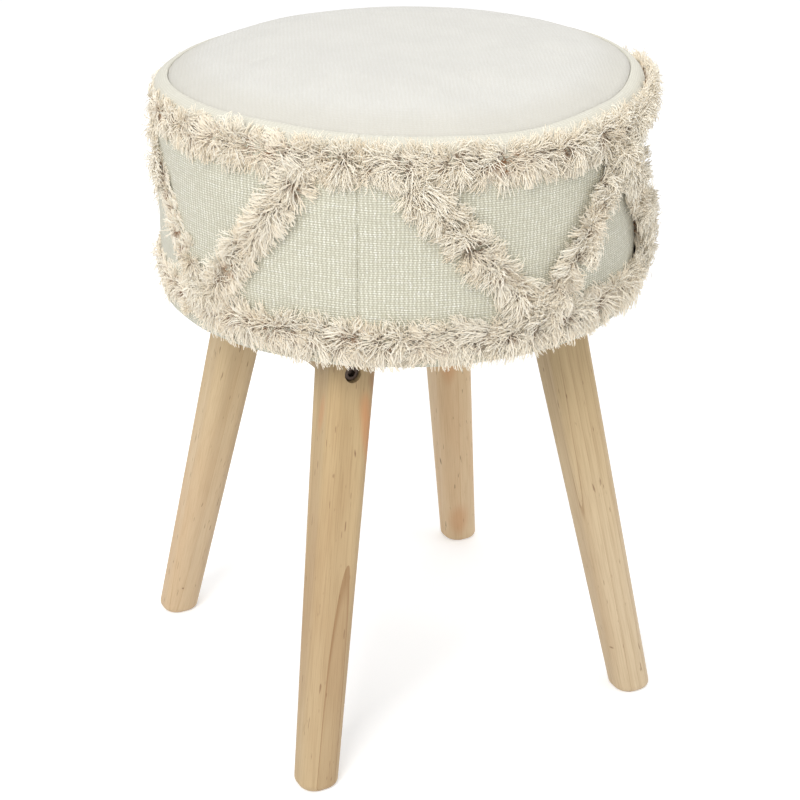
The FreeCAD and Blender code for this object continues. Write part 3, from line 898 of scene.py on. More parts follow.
@cache
def set_out_tree() -> bpy.types.NodeTree:
    """A tree that sets a copy of one small piece at each point, along the point's own directions.

    Returns:
        The tree, which takes the points, the piece and its finish.
    """
    takes = {"Points": "Geometry", "Piece": "Object", "Finish": "Material"}
    tree, given, result = new_group("set_out", "GeometryNodeTree", takes, {"Mesh": "Geometry"})
    axes = {"Primary Axis": tree.named("out"), "Secondary Axis": tree.named("along")}
    turn = tree.add("FunctionNodeAxesToRotation", axes, primary_axis="Z", secondary_axis="X")
    shape = tree.add("GeometryNodeObjectInfo", {"Object": given["Piece"]})
    placing = {
        "Points": given["Points"],
        "Instance": shape.outputs["Geometry"],
        "Rotation": turn.outputs[0],
    }
    placed = tree.add("GeometryNodeInstanceOnPoints", placing).outputs[0]
    tree.put(result["Mesh"], tree.finished(placed, given["Finish"]))
    return tree.tree


@dataclass
class Bar:
    """A small bent bar along points in the XZ plane, such as a staple's wire or a stitch of thread."""

    points: Sequence[Place]
    width: float
    sides: int

    def mesh(self, name: str) -> bpy.types.Mesh:
        """Makes the bar as a closed mesh along its points.

        Args:
            name: the mesh's name.

        Returns:
            The mesh.
        """
        rings = []
        side = Vector((0, 1, 0))
        turns = [2 * math.pi * (k + 0.5) / self.sides for k in range(self.sides)]
        reach = self.width / 2
        for index, point in enumerate(self.points):
            before = Vector(self.points[max(index - 1, 0)])
            after = Vector(self.points[min(index + 1, len(self.points) - 1)])
            over = (after - before).normalized().cross(side)
            rings.append([Vector(point) + (side * math.cos(t) + over * math.sin(t)) * reach for t in turns])
        return skin(name, np.array(rings), ends=Ends.CAPPED)


def set_out(name: str, bar: Bar, places: Iterable[Spot], finish: bpy.types.Material) -> bpy.types.Mesh:
    """Sets copies of a bar round the stool.

    Args:
        name: the mesh's name.
        bar: the bar, along X with its back towards +Z.
        places: for each copy its place, the way it runs and the way it faces.
        finish: its material.

    Returns:
        All copies as one plain mesh.
    """
    spots = list(places)
    cloud = mesh_of(name, [tuple(place) for place, _, _ in spots], [])
    store_at(cloud, "along", [along for _, along, _ in spots])
    store_at(cloud, "out", [out for _, _, out in spots])
    model = in_scene(name + "_one", bar.mesh(name + "_one"))
    mesh = grown(cloud, set_out_tree(), {"Piece": model, "Finish": finish})
    bpy.data.objects.remove(model)
    return mesh


# The covered drum


@dataclass(frozen=True)
class Drum:
    """The outside of the covered drum.

    A run is a length along the cloth, equal to the height on the straight side.

    Attributes:
        radius: of the straight side.
        seam_height: of the seam round the top.
        shoulder: radius of the bend under that seam.
        hem_bend: radius of the bend at the foot.
        hem_bottom: height of the hem under the base.
        hem_width: how far the hem reaches in.
        side_seam: azimuth of the upright seam.
        crown: height of the stuffed crown above the seam.
        crown_power: how flat the crown is in its middle.
        lifts: millimetres that the stuffing lifts the seam, evenly round from the front.
        swells: scale per metre and height in millimetres of each kind of unevenness.
    """

    radius: float = 161.0 * MM
    seam_height: float = 442.0 * MM
    shoulder: float = 10.5 * MM
    hem_bend: float = 6.0 * MM
    hem_bottom: float = 297.0 * MM
    hem_width: float = 16.0 * MM
    side_seam: float = -36.4
    crown: float = 17.5 * MM
    crown_power: float = 7.0
    lifts: tuple[float, ...] = (-2.8, 1.8, 8.6, 9.4, 9.3, 8.6, 6.0, 3.0, 1.5, 2.0, 1.6, -1.3)
    swells: tuple[tuple[float, float], ...] = ((24.0, 0.55), (75.0, 0.18))

    @property
    def seam_radius(self) -> float:
        """Radius of the seam round the top."""
        return self.radius - self.shoulder

    @property
    def side_top(self) -> float:
        """The run where the straight side meets the shoulder."""
        return self.seam_height - self.shoulder

    @property
    def side_foot(self) -> float:
        """The run where the straight side meets the bend at the foot."""
        return self.hem_bottom + self.hem_bend

    @property
    def hem_start(self) -> float:
        """The run where the bend at the foot meets the hem."""
        return self.side_foot - self.hem_bend * math.pi / 2

    def profile(self, run: float) -> tuple[float, float, float]:
        """Follows the cloth's outline.

        Args:
            run: length along the cloth.

        Returns:
            Radius, height and tilt of the cloth there.
        """
        top, foot = self.side_top, self.side_foot
        if run > top:
            tilt = (run - top) / self.shoulder
            radius = self.seam_radius + self.shoulder * math.cos(tilt)
            return radius, top + self.shoulder * math.sin(tilt), tilt
        inner = self.radius - self.hem_bend
        if run < self.hem_start:
            return inner - (self.hem_start - run), self.hem_bottom, -math.pi / 2
        if run < foot:
            tilt = (run - foot) / self.hem_bend
            return inner + self.hem_bend * math.cos(tilt), foot + self.hem_bend * math.sin(tilt), tilt
        return self.radius, run, 0.0

    def place(self, angle: float, run: float) -> tuple[Vector, Vector, Vector, Vector]:
        """A point on the cloth, and the ways out, round and up there.

        Args:
            angle: degrees round from the upright side seam.
            run: length along the cloth.

        Returns:
            The point, its outward normal, the way round the drum and the way up the cloth.
        """
        radius, height, tilt = self.profile(run)
        level = around(self.side_seam + angle)
        out = level * math.cos(tilt) + UP * math.sin(tilt)
        up = UP * math.cos(tilt) - level * math.sin(tilt)
        return self.raised(level * radius + UP * height), out, UP.cross(level), up

    def lift(self, x: float, y: float) -> float:
        """How far the stuffing lifts the seam over level, on the side where a point lies."""
        return eased_round(self.lifts, math.degrees(math.atan2(x, -y))) * MM

    def raised(self, place: Vector) -> Vector:
        """Moves a place on the drum or on its padding as the stuffing lifts it, more towards the seam.

        Args:
            place: the place on the level drum.

        Returns:
            The place on the lifted drum.
        """
        up = min(max((place.z - self.hem_bottom) / (self.seam_height - self.hem_bottom), 0.0), 1.0)
        out = min(math.hypot(place.x, place.y) / self.seam_radius, 1.0)
        return place + Vector((0, 0, up * up * out * out * self.lift(place.x, place.y)))

    def dome(self, x: float, y: float) -> float:
        """Height of the stuffed crown above the seam."""
        share = min(math.hypot(x, y) / self.seam_radius, 1.0)
        return self.crown * (1 - share**self.crown_power)

    def swell(self, place: Vector) -> float:
        """How far the stuffed cloth stands out from its true form at a place."""
        return sum(noise.noise(place * scale) * height for scale, height in self.swells) * MM


@dataclass
class SeatCover:
    """The woven cover: a crowned panel sewn to a side band, with the thread of its seam.

    Angles of the fold are in degrees from the upright seam. Its depths, the tucks' ways out and down
    and the roll's drops are in millimetres. Each noise ends in the plane that it is cut from.
    """

    drum: Drum
    thickness: float = 1.3 * MM
    panel_cut: float = 322.0 * MM
    band_cut: tuple[float, float] = (1030.0 * MM, 190.0 * MM)
    columns: int = 400
    band_rows: tuple[int, ...] = (5, 6, 40, 9)
    shoulder_turn: float = 1.46
    fold_angles: tuple[float, ...] = (0.0, 0.06, 0.13, 0.3, 0.7)
    fold_depths: tuple[float, ...] = (2.0, 1.0, 0.4, 0.12, 0.0)
    fold_end: float = 1.2
    fold_least: float = 0.45
    fold_change: float = 0.9
    fold_scale: float = 130.0
    tucks: tuple[tuple[float, float], ...] = ((0.6, 0.35), (0.3, 0.9), (0.25, 2.2))
    panel_steps: int = 72
    rim: float = 150.4 * MM
    edge_share: float = 0.999
    panel_sink: float = 0.6 * MM
    pucker: float = 0.5 * MM
    pucker_width: float = 9.0 * MM
    pucker_noise: tuple[float, float, float] = (14.0, 3.0, 2.0)
    unevenness: float = 0.5 * MM
    uneven_noise: tuple[float, float] = (4.0, 5.0)
    roll_drops: tuple[float, ...] = (0.9, 2.2)
    roll_spread: float = 1.0012
    sim_frames: int = 20
    sim_start: float = 0.94
    sim_pinned: float = 0.985
    sim_reach: float = 1.5 * MM
    stitches: int = 260
    stitch_sink: float = 2.1 * MM
    stitch_half: float = 1.5 * MM
    stitch_flat: float = 1.1 * MM
    stitch_dip: float = 0.3 * MM
    thread_width: float = 0.5 * MM
    thread_sides: int = 5

    def band_runs(self) -> np.ndarray:
        """Works out the runs of the band's rows.

        Returns:
            The runs, from the hem's edge to the top of the shoulder.
        """
        drum = self.drum
        edge, top = drum.hem_start - drum.hem_width, drum.side_top + drum.shoulder * self.shoulder_turn
        stops = (edge, drum.hem_start, drum.side_foot, drum.side_top, top)
        parts = [np.linspace(a, b, count) for a, b, count in zip(stops, stops[1:], self.band_rows)]
        return np.concatenate([*(part[:-1] for part in parts[:-1]), parts[-1]])

    def side_mesh(self) -> bpy.types.Mesh:
        """Makes the side band, folded in at its upright seam, with its hem turned under.

        Returns:
            The outer face of the band, with its cloth map.
        """
        drum = self.drum
        fold = np.array(self.fold_angles)
        even = np.linspace(self.fold_end, 360.0 - self.fold_end, self.columns)
        angles = np.concatenate([fold, even, (360.0 - fold[1:])[::-1]])
        depths = np.interp(np.minimum(angles, 360.0 - angles), fold, np.array(self.fold_depths) * MM)
        rows, maps = [], []
        for run in self.band_runs():
            change = abs(noise.noise(Vector((0, 0, run * self.fold_scale))))
            broken = self.fold_least + self.fold_change * change
            row = []
            for angle, depth in zip(angles, depths):
                point, out, _, _ = drum.place(angle, run)
                row.append(point + out * (drum.swell(point) - depth * broken))
            rows.append(row)
            maps.append([(math.radians(a) * drum.radius, run) for a in (*angles, 360.0)])
        shoulder_map = maps[-1]
        for outset, drop in self.tucks:
            ring = [around(drum.side_seam + a) * (drum.seam_radius + outset * MM) for a in angles]
            rows.append([drum.raised(p + UP * (drum.seam_height - drop * MM)) for p in ring])
            maps.append([(u, v + drop * MM) for u, v in shoulder_map])
        return skin("cover_side", np.array([[tuple(p) for p in row] for row in rows]), np.array(maps))

    def settled_heights(self, flat: np.ndarray, faces: list[tuple[int, ...]]) -> np.ndarray:
        """Blows the panel up over the foam with a cloth simulation, held at its rim.

        Args:
            flat: the panel's points in the unit disc.
            faces: its faces.

        Returns:
            The height of each point above the seam.
        """
        far = np.hypot(flat[:, 0], flat[:, 1])
        full = np.array([self.drum.dome(x * self.rim, y * self.rim) for x, y in flat])
        points = np.column_stack([flat * self.rim, self.sim_start * full + self.drum.seam_height])
        sheet = in_scene("panel_sim", mesh_of("panel_sim", points.tolist(), faces))
        scene = bpy.context.scene
        pins = sheet.vertex_groups.new(name="rim")
        pins.add([int(i) for i in np.flatnonzero(far > self.sim_pinned)], 1.0, "REPLACE")
        cloth = sheet.modifiers.new("cloth", "CLOTH")
        cloth.settings.vertex_group_mass = "rim"
        cloth.settings.quality = 6
        cloth.settings.mass = 0.2
        cloth.settings.tension_stiffness = 30
        cloth.settings.compression_stiffness = 30
        cloth.settings.bending_stiffness = 1.0
        cloth.settings.use_pressure = True
        cloth.settings.uniform_pressure_force = 4.0
        cloth.settings.effector_weights.gravity = 0
        cloth.point_cache.frame_start, cloth.point_cache.frame_end = 1, self.sim_frames
        for step in range(1, self.sim_frames + 1):
            scene.frame_set(step)
        result = evaluated(sheet, "panel_sim")
        heights = np.array([v.co.z for v in result.vertices]) - self.drum.seam_height
        bpy.data.meshes.remove(result)
        scene.frame_set(1)
        return np.clip(heights, full - self.sim_reach, full + self.sim_reach)

    def panel_points(self, flat: np.ndarray, heights: np.ndarray) -> list[Place]:
        """Sets the panel's points in place, puckered a little at the seam.

        Args:
            flat: the points in the unit disc.
            heights: their heights above the seam.

        Returns:
            The points in the shared frame.
        """
        round_scale, across_scale, pucker_plane = self.pucker_noise
        uneven_scale, uneven_plane = self.uneven_noise
        points = []
        for (x, y), height in zip(flat, heights):
            share = np.hypot(x, y)
            near = math.exp(-(1 - share) * self.rim / self.pucker_width)
            turn = math.atan2(y, x)
            pucker = noise.noise(Vector((turn * round_scale, share * across_scale, pucker_plane)))
            soft = noise.noise(Vector((x * uneven_scale, y * uneven_scale, uneven_plane)))
            uneven = pucker * self.pucker * near + soft * self.unevenness * (1 - share**4)
            level = self.drum.seam_height - self.panel_sink + height + uneven
            points.append(tuple(self.drum.raised(Vector((x * self.rim, y * self.rim, level)))))
        return points

    def top_mesh(self) -> bpy.types.Mesh:
        """Makes the crowned panel, rolled down into its seam.

        Returns:
            The outer face of the panel, with its cloth map.
        """
        flat, faces = round_grid(self.panel_steps)
        points = self.panel_points(flat, self.settled_heights(flat, faces))
        outermost = np.flatnonzero(np.hypot(flat[:, 0], flat[:, 1]) > self.edge_share)
        inner = sorted((int(i) for i in outermost), key=lambda i: math.atan2(flat[i, 1], flat[i, 0]))
        edge = [points[i] for i in inner]
        for drop in self.roll_drops:
            outer = list(range(len(points), len(points) + len(edge)))
            points += [(x * self.roll_spread, y * self.roll_spread, z - drop * MM) for x, y, z in edge]
            for k in range(len(edge)):
                after = (k + 1) % len(edge)
                faces.append((inner[k], outer[k], outer[after], inner[after]))
            inner = outer
        mesh = mesh_of("cover_top", points, faces)
        layer = mesh.uv_layers.new(name=CLOTH_MAP)
        for loop in mesh.loops:
            layer.data[loop.index].uv = points[loop.vertex_index][:2]
        mesh.shade_smooth()
        return mesh

    def stitch(self) -> Bar:
        """Shapes one stitch of the seam, dipped at both ends.

        Returns:
            The stitch.
        """
        end, flat, dip = self.stitch_half, self.stitch_flat, self.stitch_dip
        bend = [(-end, 0, -dip), (-flat, 0, 0), (flat, 0, 0), (end, 0, -dip)]
        return Bar(bend, self.thread_width, self.thread_sides)

    def stitch_places(self) -> list[Spot]:
        """Finds where the stitches lie, down in the seam round the top.

        Returns:
            For each stitch its place, the way it runs and the way it faces.
        """
        spots = []
        for index in range(self.stitches):
            level = around(360 * index / self.stitches)
            spot = level * self.drum.seam_radius + UP * (self.drum.seam_height - self.stitch_sink)
            spots.append((self.drum.raised(spot), UP.cross(level), UP))
        return spots

    def build(self, panel: Cotton, band: Cotton, thread: Speckled) -> list[bpy.types.Object]:
        """Makes the panel, the band and the seam's thread.

        Args:
            panel: finish of the panel.
            band: finish of the band.
            thread: finish of the sewing thread.

        Returns:
            The panel, the band and the thread.
        """
        top = show("cover_panel", self.top_mesh(), panel.material())
        side = show("cover_band", self.side_mesh(), band.material())
        for piece, node in ((top, "cover_top"), (side, "cover_side")):
            thicken(piece, self.thickness)
            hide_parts(node)
        finish = thread.material()
        sewn = set_out("seam_thread", self.stitch(), self.stitch_places(), finish)
        return [top, side, show("seam_thread", sewn, finish)]


# The tufted bands

# What a strip of cloth stores for its yarns, and what only the growing yarns need.
WAYS = ("out", "across", "along")
LEVELS = ("side", "stand")
YARN_LAYERS = ("yarn_root", "yarn_reach", "yarn_curl", "yarn_twist", "round")


class Band(Enum):
    """The tufted bands, with the CAD nodes that they stand for."""

    UPPER = "fringe_ring_upper"
    LOWER = "fringe_ring_lower"
    ZIGZAG = "fringe_chevron_%d"


@dataclass(frozen=True)
class Tufts:
    """How cut yarns clump, lean and bend. Shares are of a yarn's length where nothing else is named.

    Attributes:
        length: of a yarn.
        thickness: of a yarn.
        tuft: size of a clump.
        fan: how far the yarns of a clump spread from its middle.
        stray: how far a yarn strays from its clump's way.
        droop: how far a tip sinks.
        gather: share of the way to its clump's middle that a root is moved.
        root_depth: how deep the roots lie under the cloth.
        comb_scale: scale per metre of the ways that neighbouring clumps are combed.
        slant: how far clumps lean along the band.
        stand_middle: how far a clump of the middle kind stands up.
        tuft_length: how much clumps differ in length.
        stray_length: how much the yarns of a clump differ in length.
        flat_stand: the stand below which yarns are worn short.
        worn: share of their length that the most worn ones keep.
        bow: how far yarns bow out, for yarns that stand and for all.
        tuft_bow: how far each clump bows its own way.
        stray_bow: how far each yarn bows its own way.
        twist: how far yarns swing from side to side.
        tones: how much chance, the clump and neither add to a yarn's tone.
        thins: thickness at the root, and what it loses by the tip, as shares.
        points: along a yarn.
        sides: of a yarn's section.
        blank: length of the straight line that is bent to a yarn.
        map_width: how much of the bake's map goes round a yarn, and how much the tone spans.
    """

    length: float = 12.0 * MM
    thickness: float = 0.55 * MM
    tuft: float = 5.5 * MM
    fan: float = 0.5
    stray: float = 0.24
    droop: float = 1.2 * MM
    gather: float = 0.34
    root_depth: float = 0.6 * MM
    comb_scale: float = 24.0
    slant: float = 1.4
    stand_middle: float = 0.8
    tuft_length: float = 0.3
    stray_length: float = 0.22
    flat_stand: float = 0.3
    worn: float = 0.75
    bow: tuple[float, float] = (0.3, 0.05)
    tuft_bow: float = 0.28
    stray_bow: float = 0.06
    twist: float = 0.11
    tones: tuple[float, float, float] = (0.6, 0.5, 0.2)
    thins: tuple[float, float] = (1.05, -0.2)
    points: int = 4
    sides: int = 3
    blank: float = 10.0 * MM
    map_width: tuple[float, float] = (0.04, 0.95)

    def rooted(self, tree: Tree, given: dict[str, Socket]) -> Socket:
        """Sets points on a strip and stores at each the root, reach, curl, twist and tone of its yarn.

        Args:
            tree: the tree.
            given: its inputs.

        Returns:
            The points.
        """
        spreading = {"Mesh": given["Strip"], "Density": given["Density"], "Seed": given["Seed"]}
        points = tree.add("GeometryNodeDistributePointsOnFaces", spreading).outputs["Points"]
        root = tree.add("GeometryNodeInputPosition").outputs[0]
        clumping = {"Vector": root, "Scale": tree.math("DIVIDE", 1.0, given["Tuft"])}
        clump = tree.add("ShaderNodeTexVoronoi", clumping).outputs
        home, tuft = clump["Position"], tree.vector("SUBTRACT", clump["Color"], NOISE_MIDDLE)
        stray, tint, kink, swing = (
            tree.chance(low, tree.math("ADD", given["Seed"], offset))
            for offset, low in ((1, -1), (2, 0), (3, -1), (4, -1))
        )
        tuft_x, tuft_y, tuft_z = tree.parts(tuft)
        stray_x, stray_y, stray_z = tree.parts(stray)
        out, across, along = (tree.named(name) for name in WAYS)
        side, upright = (tree.named(name, "FLOAT") for name in LEVELS)
        spread = tree.math("DIVIDE", given["Fan"], given["Tuft"])
        fan = tree.scaled(tree.vector("SUBTRACT", root, home), spread)
        lean = tree.math("MULTIPLY_ADD", stray_x, given["Stray"], side)
        lean = tree.math("ADD", tuft_x, lean)
        combed = tree.math("MULTIPLY_ADD", tree.noise(root, self.comb_scale), 2.0, -1.0)
        slant = tree.math("MULTIPLY_ADD", stray_y, given["Stray"], combed)
        slant = tree.math("MULTIPLY_ADD", tuft_y, self.slant, slant)
        stand = tree.math("MULTIPLY", upright, tree.math("ADD", tuft_z, self.stand_middle))
        stand = tree.math("MULTIPLY", stand, given["Stand"])
        leaning = (tree.scaled(out, stand), tree.scaled(across, lean), tree.scaled(along, slant))
        way = tree.vector("NORMALIZE", tree.total(*leaning, fan))
        longer = tree.math("MULTIPLY_ADD", stray_z, self.stray_length, 1.0)
        longer = tree.math("MULTIPLY_ADD", tuft_z, self.tuft_length, longer)
        worn = tree.ease(upright, 0.0, self.flat_stand, self.worn, 1.0)
        length = tree.math("MULTIPLY", given["Length"], tree.math("MULTIPLY", longer, worn))
        curl = tree.total(
            tree.scaled(out, tree.math("MULTIPLY", length, tree.math("MULTIPLY_ADD", stand, *self.bow))),
            tree.scaled(tuft, tree.math("MULTIPLY", length, self.tuft_bow)),
            tree.scaled(kink, tree.math("MULTIPLY", length, self.stray_bow)),
        )
        swing_x, swing_y, _ = tree.parts(swing)
        twist = tree.total(tree.scaled(across, swing_x), tree.scaled(along, swing_y))
        inward = tree.scaled(tree.vector("SUBTRACT", home, root), self.gather)
        by_chance, by_tuft, plain = self.tones
        tone = tree.math("MULTIPLY_ADD", tuft_z, by_tuft, plain)
        tone = tree.math("MULTIPLY_ADD", tree.parts(tint)[0], by_chance, tone)
        stored = {
            "yarn_root": tree.total(root, inward, tree.scaled(out, -self.root_depth)),
            "yarn_reach": tree.scaled(way, length),
            "yarn_curl": curl,
            "yarn_twist": tree.scaled(twist, tree.math("MULTIPLY", length, self.twist)),
        }
        for name, value in stored.items():
            points = tree.store(points, name, value)
        limited = tree.math("MINIMUM", tree.math("MAXIMUM", tone, 0.0), 1.0)
        return tree.store(points, "tone", limited, "FLOAT")

    def bent(self, tree: Tree, given: dict[str, Socket], points: Socket) -> Socket:
        """Draws a curve from each point, which arches, swings and droops as its yarn does.

        Args:
            tree: the tree.
            given: its inputs.
            points: the points, with what they store.

        Returns:
            The curves, with the share of a yarn's length stored along each.
        """
        line = tree.add("GeometryNodeCurvePrimitiveLine", {"End": (0.0, 0.0, self.blank)})
        line = tree.add("GeometryNodeResampleCurve", {"Curve": line.outputs[0], "Count": self.points})
        yarns = tree.add("GeometryNodeInstanceOnPoints", {"Points": points, "Instance": line.outputs[0]})
        yarns = tree.add("GeometryNodeRealizeInstances", {0: yarns.outputs[0]})
        run = tree.add("GeometryNodeSplineParameter").outputs["Factor"]
        left = tree.math("SUBTRACT", 1.0, run)
        arch = tree.math("MULTIPLY", tree.math("MULTIPLY", run, left), 4.0)
        sink = tree.math("MULTIPLY", given["Droop"], -1.0)
        sag = tree.math("MULTIPLY", tree.math("MULTIPLY", run, run), sink)
        wave = tree.math("SINE", tree.math("MULTIPLY", run, 2 * math.pi))
        place = tree.total(
            tree.named("yarn_root"),
            tree.scaled(tree.named("yarn_reach"), run),
            tree.scaled(tree.named("yarn_curl"), arch),
            tree.scaled(tree.named("yarn_twist"), wave),
            tree.joined(0.0, 0.0, sag),
        )
        moved = tree.add("GeometryNodeSetPosition", {"Geometry": yarns.outputs[0], "Position": place})
        return tree.store(moved.outputs[0], "reach", run, "FLOAT")

    def tubes(self, tree: Tree, given: dict[str, Socket], curves: Socket) -> Socket:
        """Gives each curve a thin wall that tapers to its tip, and a map for the bake.

        Args:
            tree: the tree.
            given: its inputs.
            curves: the curves.

        Returns:
            The yarns as a mesh, shaded smooth.
        """
        turn = tree.add("GeometryNodeSplineParameter").outputs["Factor"]
        ring = tree.add("GeometryNodeCurvePrimitiveCircle", {"Resolution": self.sides, "Radius": 0.5})
        ring = tree.store(ring.outputs[0], "round", turn, "FLOAT")
        at_root, lost = self.thins
        run = tree.add("GeometryNodeSplineParameter").outputs["Factor"]
        taper = tree.math("MULTIPLY", given["Thickness"], tree.math("MULTIPLY_ADD", run, lost, at_root))
        forming = {"Curve": curves, "Profile Curve": ring, "Scale": taper, "Fill Caps": True}
        tube = tree.add("GeometryNodeCurveToMesh", forming).outputs[0]
        round_share, tone_share = self.map_width
        tone = tree.math("MULTIPLY", tree.named("tone", "FLOAT"), tone_share)
        across = tree.math("MULTIPLY_ADD", tree.named("round", "FLOAT"), round_share, tone)
        spot = tree.joined(across, tree.named("reach", "FLOAT"))
        mapped = tree.store(tube, "OFBake", spot, "FLOAT2", "CORNER")
        return tree.add("GeometryNodeSetShadeSmooth", {"Geometry": mapped}).outputs[0]

    def tree(self) -> bpy.types.NodeTree:
        """Builds the tree that grows curved, clumped yarns out of a strip of cloth.

        Returns:
            The tree.
        """
        sizes = ("Density", "Length", "Thickness", "Tuft", "Stand", "Fan", "Stray", "Droop")
        takes = {"Strip": "Geometry", **dict.fromkeys(sizes, "Float"), "Seed": "Int", "Finish": "Material"}
        tree, given, result = new_group("cut_yarn", "GeometryNodeTree", takes, {"Mesh": "Geometry"})
        curves = self.bent(tree, given, self.rooted(tree, given))
        tree.put(result["Mesh"], tree.finished(self.tubes(tree, given, curves), given["Finish"]))
        return tree.tree


@dataclass(frozen=True)
class TuftRow:
    """One piece of the fringe.

    Attributes:
        name: of the row.
        node: the CAD node that the row replaces.
        lines: angle and run along the middle of each strip of cloth that it is sewn through.
        half: half a strip's width.
        stand: how far its yarns stand up.
    """

    name: str
    node: str
    lines: list[list[tuple[float, float]]]
    half: float
    stand: float


@dataclass
class Fringe:
    """Cut yarns sewn to the cover: a ring under the seam, a ring at the foot and a zigzag between them.

    The zigzag's turns are in degrees from the side seam. Stands, drops and rises lie evenly round from
    the front. Drops, rises, the rings' waver and half the arms' widths are in millimetres.
    """

    drum: Drum
    tufts: Tufts = Tufts()
    upper_run: float = 427.0 * MM
    lower_run: float = 315.5 * MM
    ring_root: float = 5.0 * MM
    ring_stand: float = 0.5
    ring_pieces: int = 4
    ring_points: int = 61
    upper_turns: tuple[float, ...] = (11.5, 66.0, 123.0, 179.0, 235.0, 290.0, 347.5)
    lower_turns: tuple[float, ...] = (41.5, 94.0, 151.0, 207.0, 263.0, 321.0)
    arm_high: float = 414.0 * MM
    arm_low: float = 322.0 * MM
    arm_roots: tuple[float, ...] = (5.6, 5.0, 5.0, 5.0, 5.0, 3.9)
    arm_stand: float = 1.15
    arm_points: int = 31
    strip_columns: int = 5
    strands_per_mm: float = 22.0
    quick_share: float = 0.35
    stands: tuple[float, ...] = (0.42, 0.5, 1.1, 1.1, 0.45, 0.3, 0.3, 0.2, 0.03, 0.12, 0.34, 0.4)
    drops: tuple[float, ...] = (0.0, 0.0, -1.0, 4.5, 7.0, 8.0, 8.0, 6.0, 3.0, 0.0, 0.0, 0.0)
    rises: tuple[float, ...] = (0.0, 2.5, 5.0, 4.0, 3.0, 3.0, 3.0, 4.0, 5.5, 4.0, 1.5, 0.0)
    ring_waver: float = 0.8
    waver_scale: float = 0.12

    def strip(self, row: TuftRow) -> bpy.types.Mesh:
        """Makes the strips of cloth that a row's yarns are sewn through.

        Args:
            row: the row.

        Returns:
            The strips, with the ways out, across and along stored at their points.
        """
        spots, faces = [], []
        ways: dict[str, list[Vector | float]] = {name: [] for name in (*WAYS, *LEVELS)}
        columns = np.linspace(-1, 1, self.strip_columns)
        wide = len(columns)
        for line in row.lines:
            for index, (angle, run) in enumerate(line):
                before, after = line[max(index - 1, 0)], line[min(index + 1, len(line) - 1)]
                step = math.radians(after[0] - before[0]) * self.drum.radius
                way = Vector((step, after[1] - before[1])).normalized()
                if index:
                    first = len(spots)
                    faces += [(k - wide, k - wide + 1, k + 1, k) for k in range(first, first + wide - 1)]
                for side in columns:
                    turn = angle - math.degrees(way.y * side * row.half / self.drum.radius)
                    point, out, rounds, up = self.drum.place(turn, run + way.x * side * row.half)
                    spots.append(tuple(point))
                    ways["out"].append(out)
                    ways["across"].append(up * way.x - rounds * way.y)
                    ways["along"].append(rounds * way.x + up * way.y)
                    ways["side"].append(side)
                    ways["stand"].append(eased_round(self.stands, self.drum.side_seam + turn))
        mesh = mesh_of(row.name, spots, faces)
        for label, values in ways.items():
            store_at(mesh, label, values)
        return mesh

    def waver(self, band: Band, angle: float) -> float:
        """How far a ring is sewn above its line.

        Args:
            band: the ring.
            angle: degrees round from the side seam.

        Returns:
            The height above the line.
        """
        azimuth = self.drum.side_seam + angle
        shift = eased_round(self.rises, azimuth) if band is Band.LOWER else -eased_round(self.drops, azimuth)
        return (shift + self.ring_waver * noise.noise(Vector((0, 0, angle * self.waver_scale)))) * MM

    def ring_rows(self) -> list[TuftRow]:
        """Lays out the two rings.

        Returns:
            The pieces of the upper ring, then those of the lower one.
        """
        rows = []
        step = 360 / self.ring_pieces
        for band, run in ((Band.UPPER, self.upper_run), (Band.LOWER, self.lower_run)):
            for index in range(self.ring_pieces):
                angles = np.linspace(index * step, (index + 1) * step, self.ring_points)
                line = [(a, run + self.waver(band, a)) for a in angles]
                name = f"{band.value}_{index + 1}"
                rows.append(TuftRow(name, band.value, [line], self.ring_root, self.ring_stand))
        return rows

    def zigzag_rows(self) -> list[TuftRow]:
        """Lays out the zigzag.

        Returns:
            Its chevrons, each with two arms that rise from a lower turn.
        """
        rows = []
        rise = self.arm_high - self.arm_low
        for index, low in enumerate(self.lower_turns):
            arms = []
            for high in self.upper_turns[index : index + 2]:
                shares = np.linspace(0, 1, self.arm_points)
                arm = [(low + (high - low) * s, self.arm_low + rise * s) for s in shares]
                arms.append(arm if high > low else arm[::-1])
            node = Band.ZIGZAG.value % (index + 1)
            rows.append(TuftRow(node, node, arms, self.arm_roots[index] * MM, self.arm_stand))
        return rows

    def build(self, yarn: Yarn) -> list[bpy.types.Object]:
        """Grows every band.

        Args:
            yarn: finish of the yarns.

        Returns:
            The pieces of fringe.
        """
        finish, tufts, tree = yarn.material(), self.tufts, self.tufts.tree()
        share = 1.0
        made = []
        for seed, row in enumerate((*self.ring_rows(), *self.zigzag_rows()), 1):
            sizes = {
                "Density": self.strands_per_mm / MM / (2 * row.half) * share,
                "Length": tufts.length,
                "Thickness": tufts.thickness / share**0.5,
                "Tuft": tufts.tuft,
                "Stand": row.stand,
                "Fan": tufts.fan,
                "Stray": tufts.stray,
                "Droop": tufts.droop,
                "Seed": seed,
                "Finish": finish,
            }
            mesh = grown(self.strip(row), tree, sizes)
            for layer in (*WAYS, *LEVELS, *YARN_LAYERS):
                if layer in mesh.attributes:
                    mesh.attributes.remove(mesh.attributes[layer])
            piece = show(row.name + "_yarn", mesh, finish)
            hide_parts(row.node)
            made.append(piece)
        return made


# Padding and underside


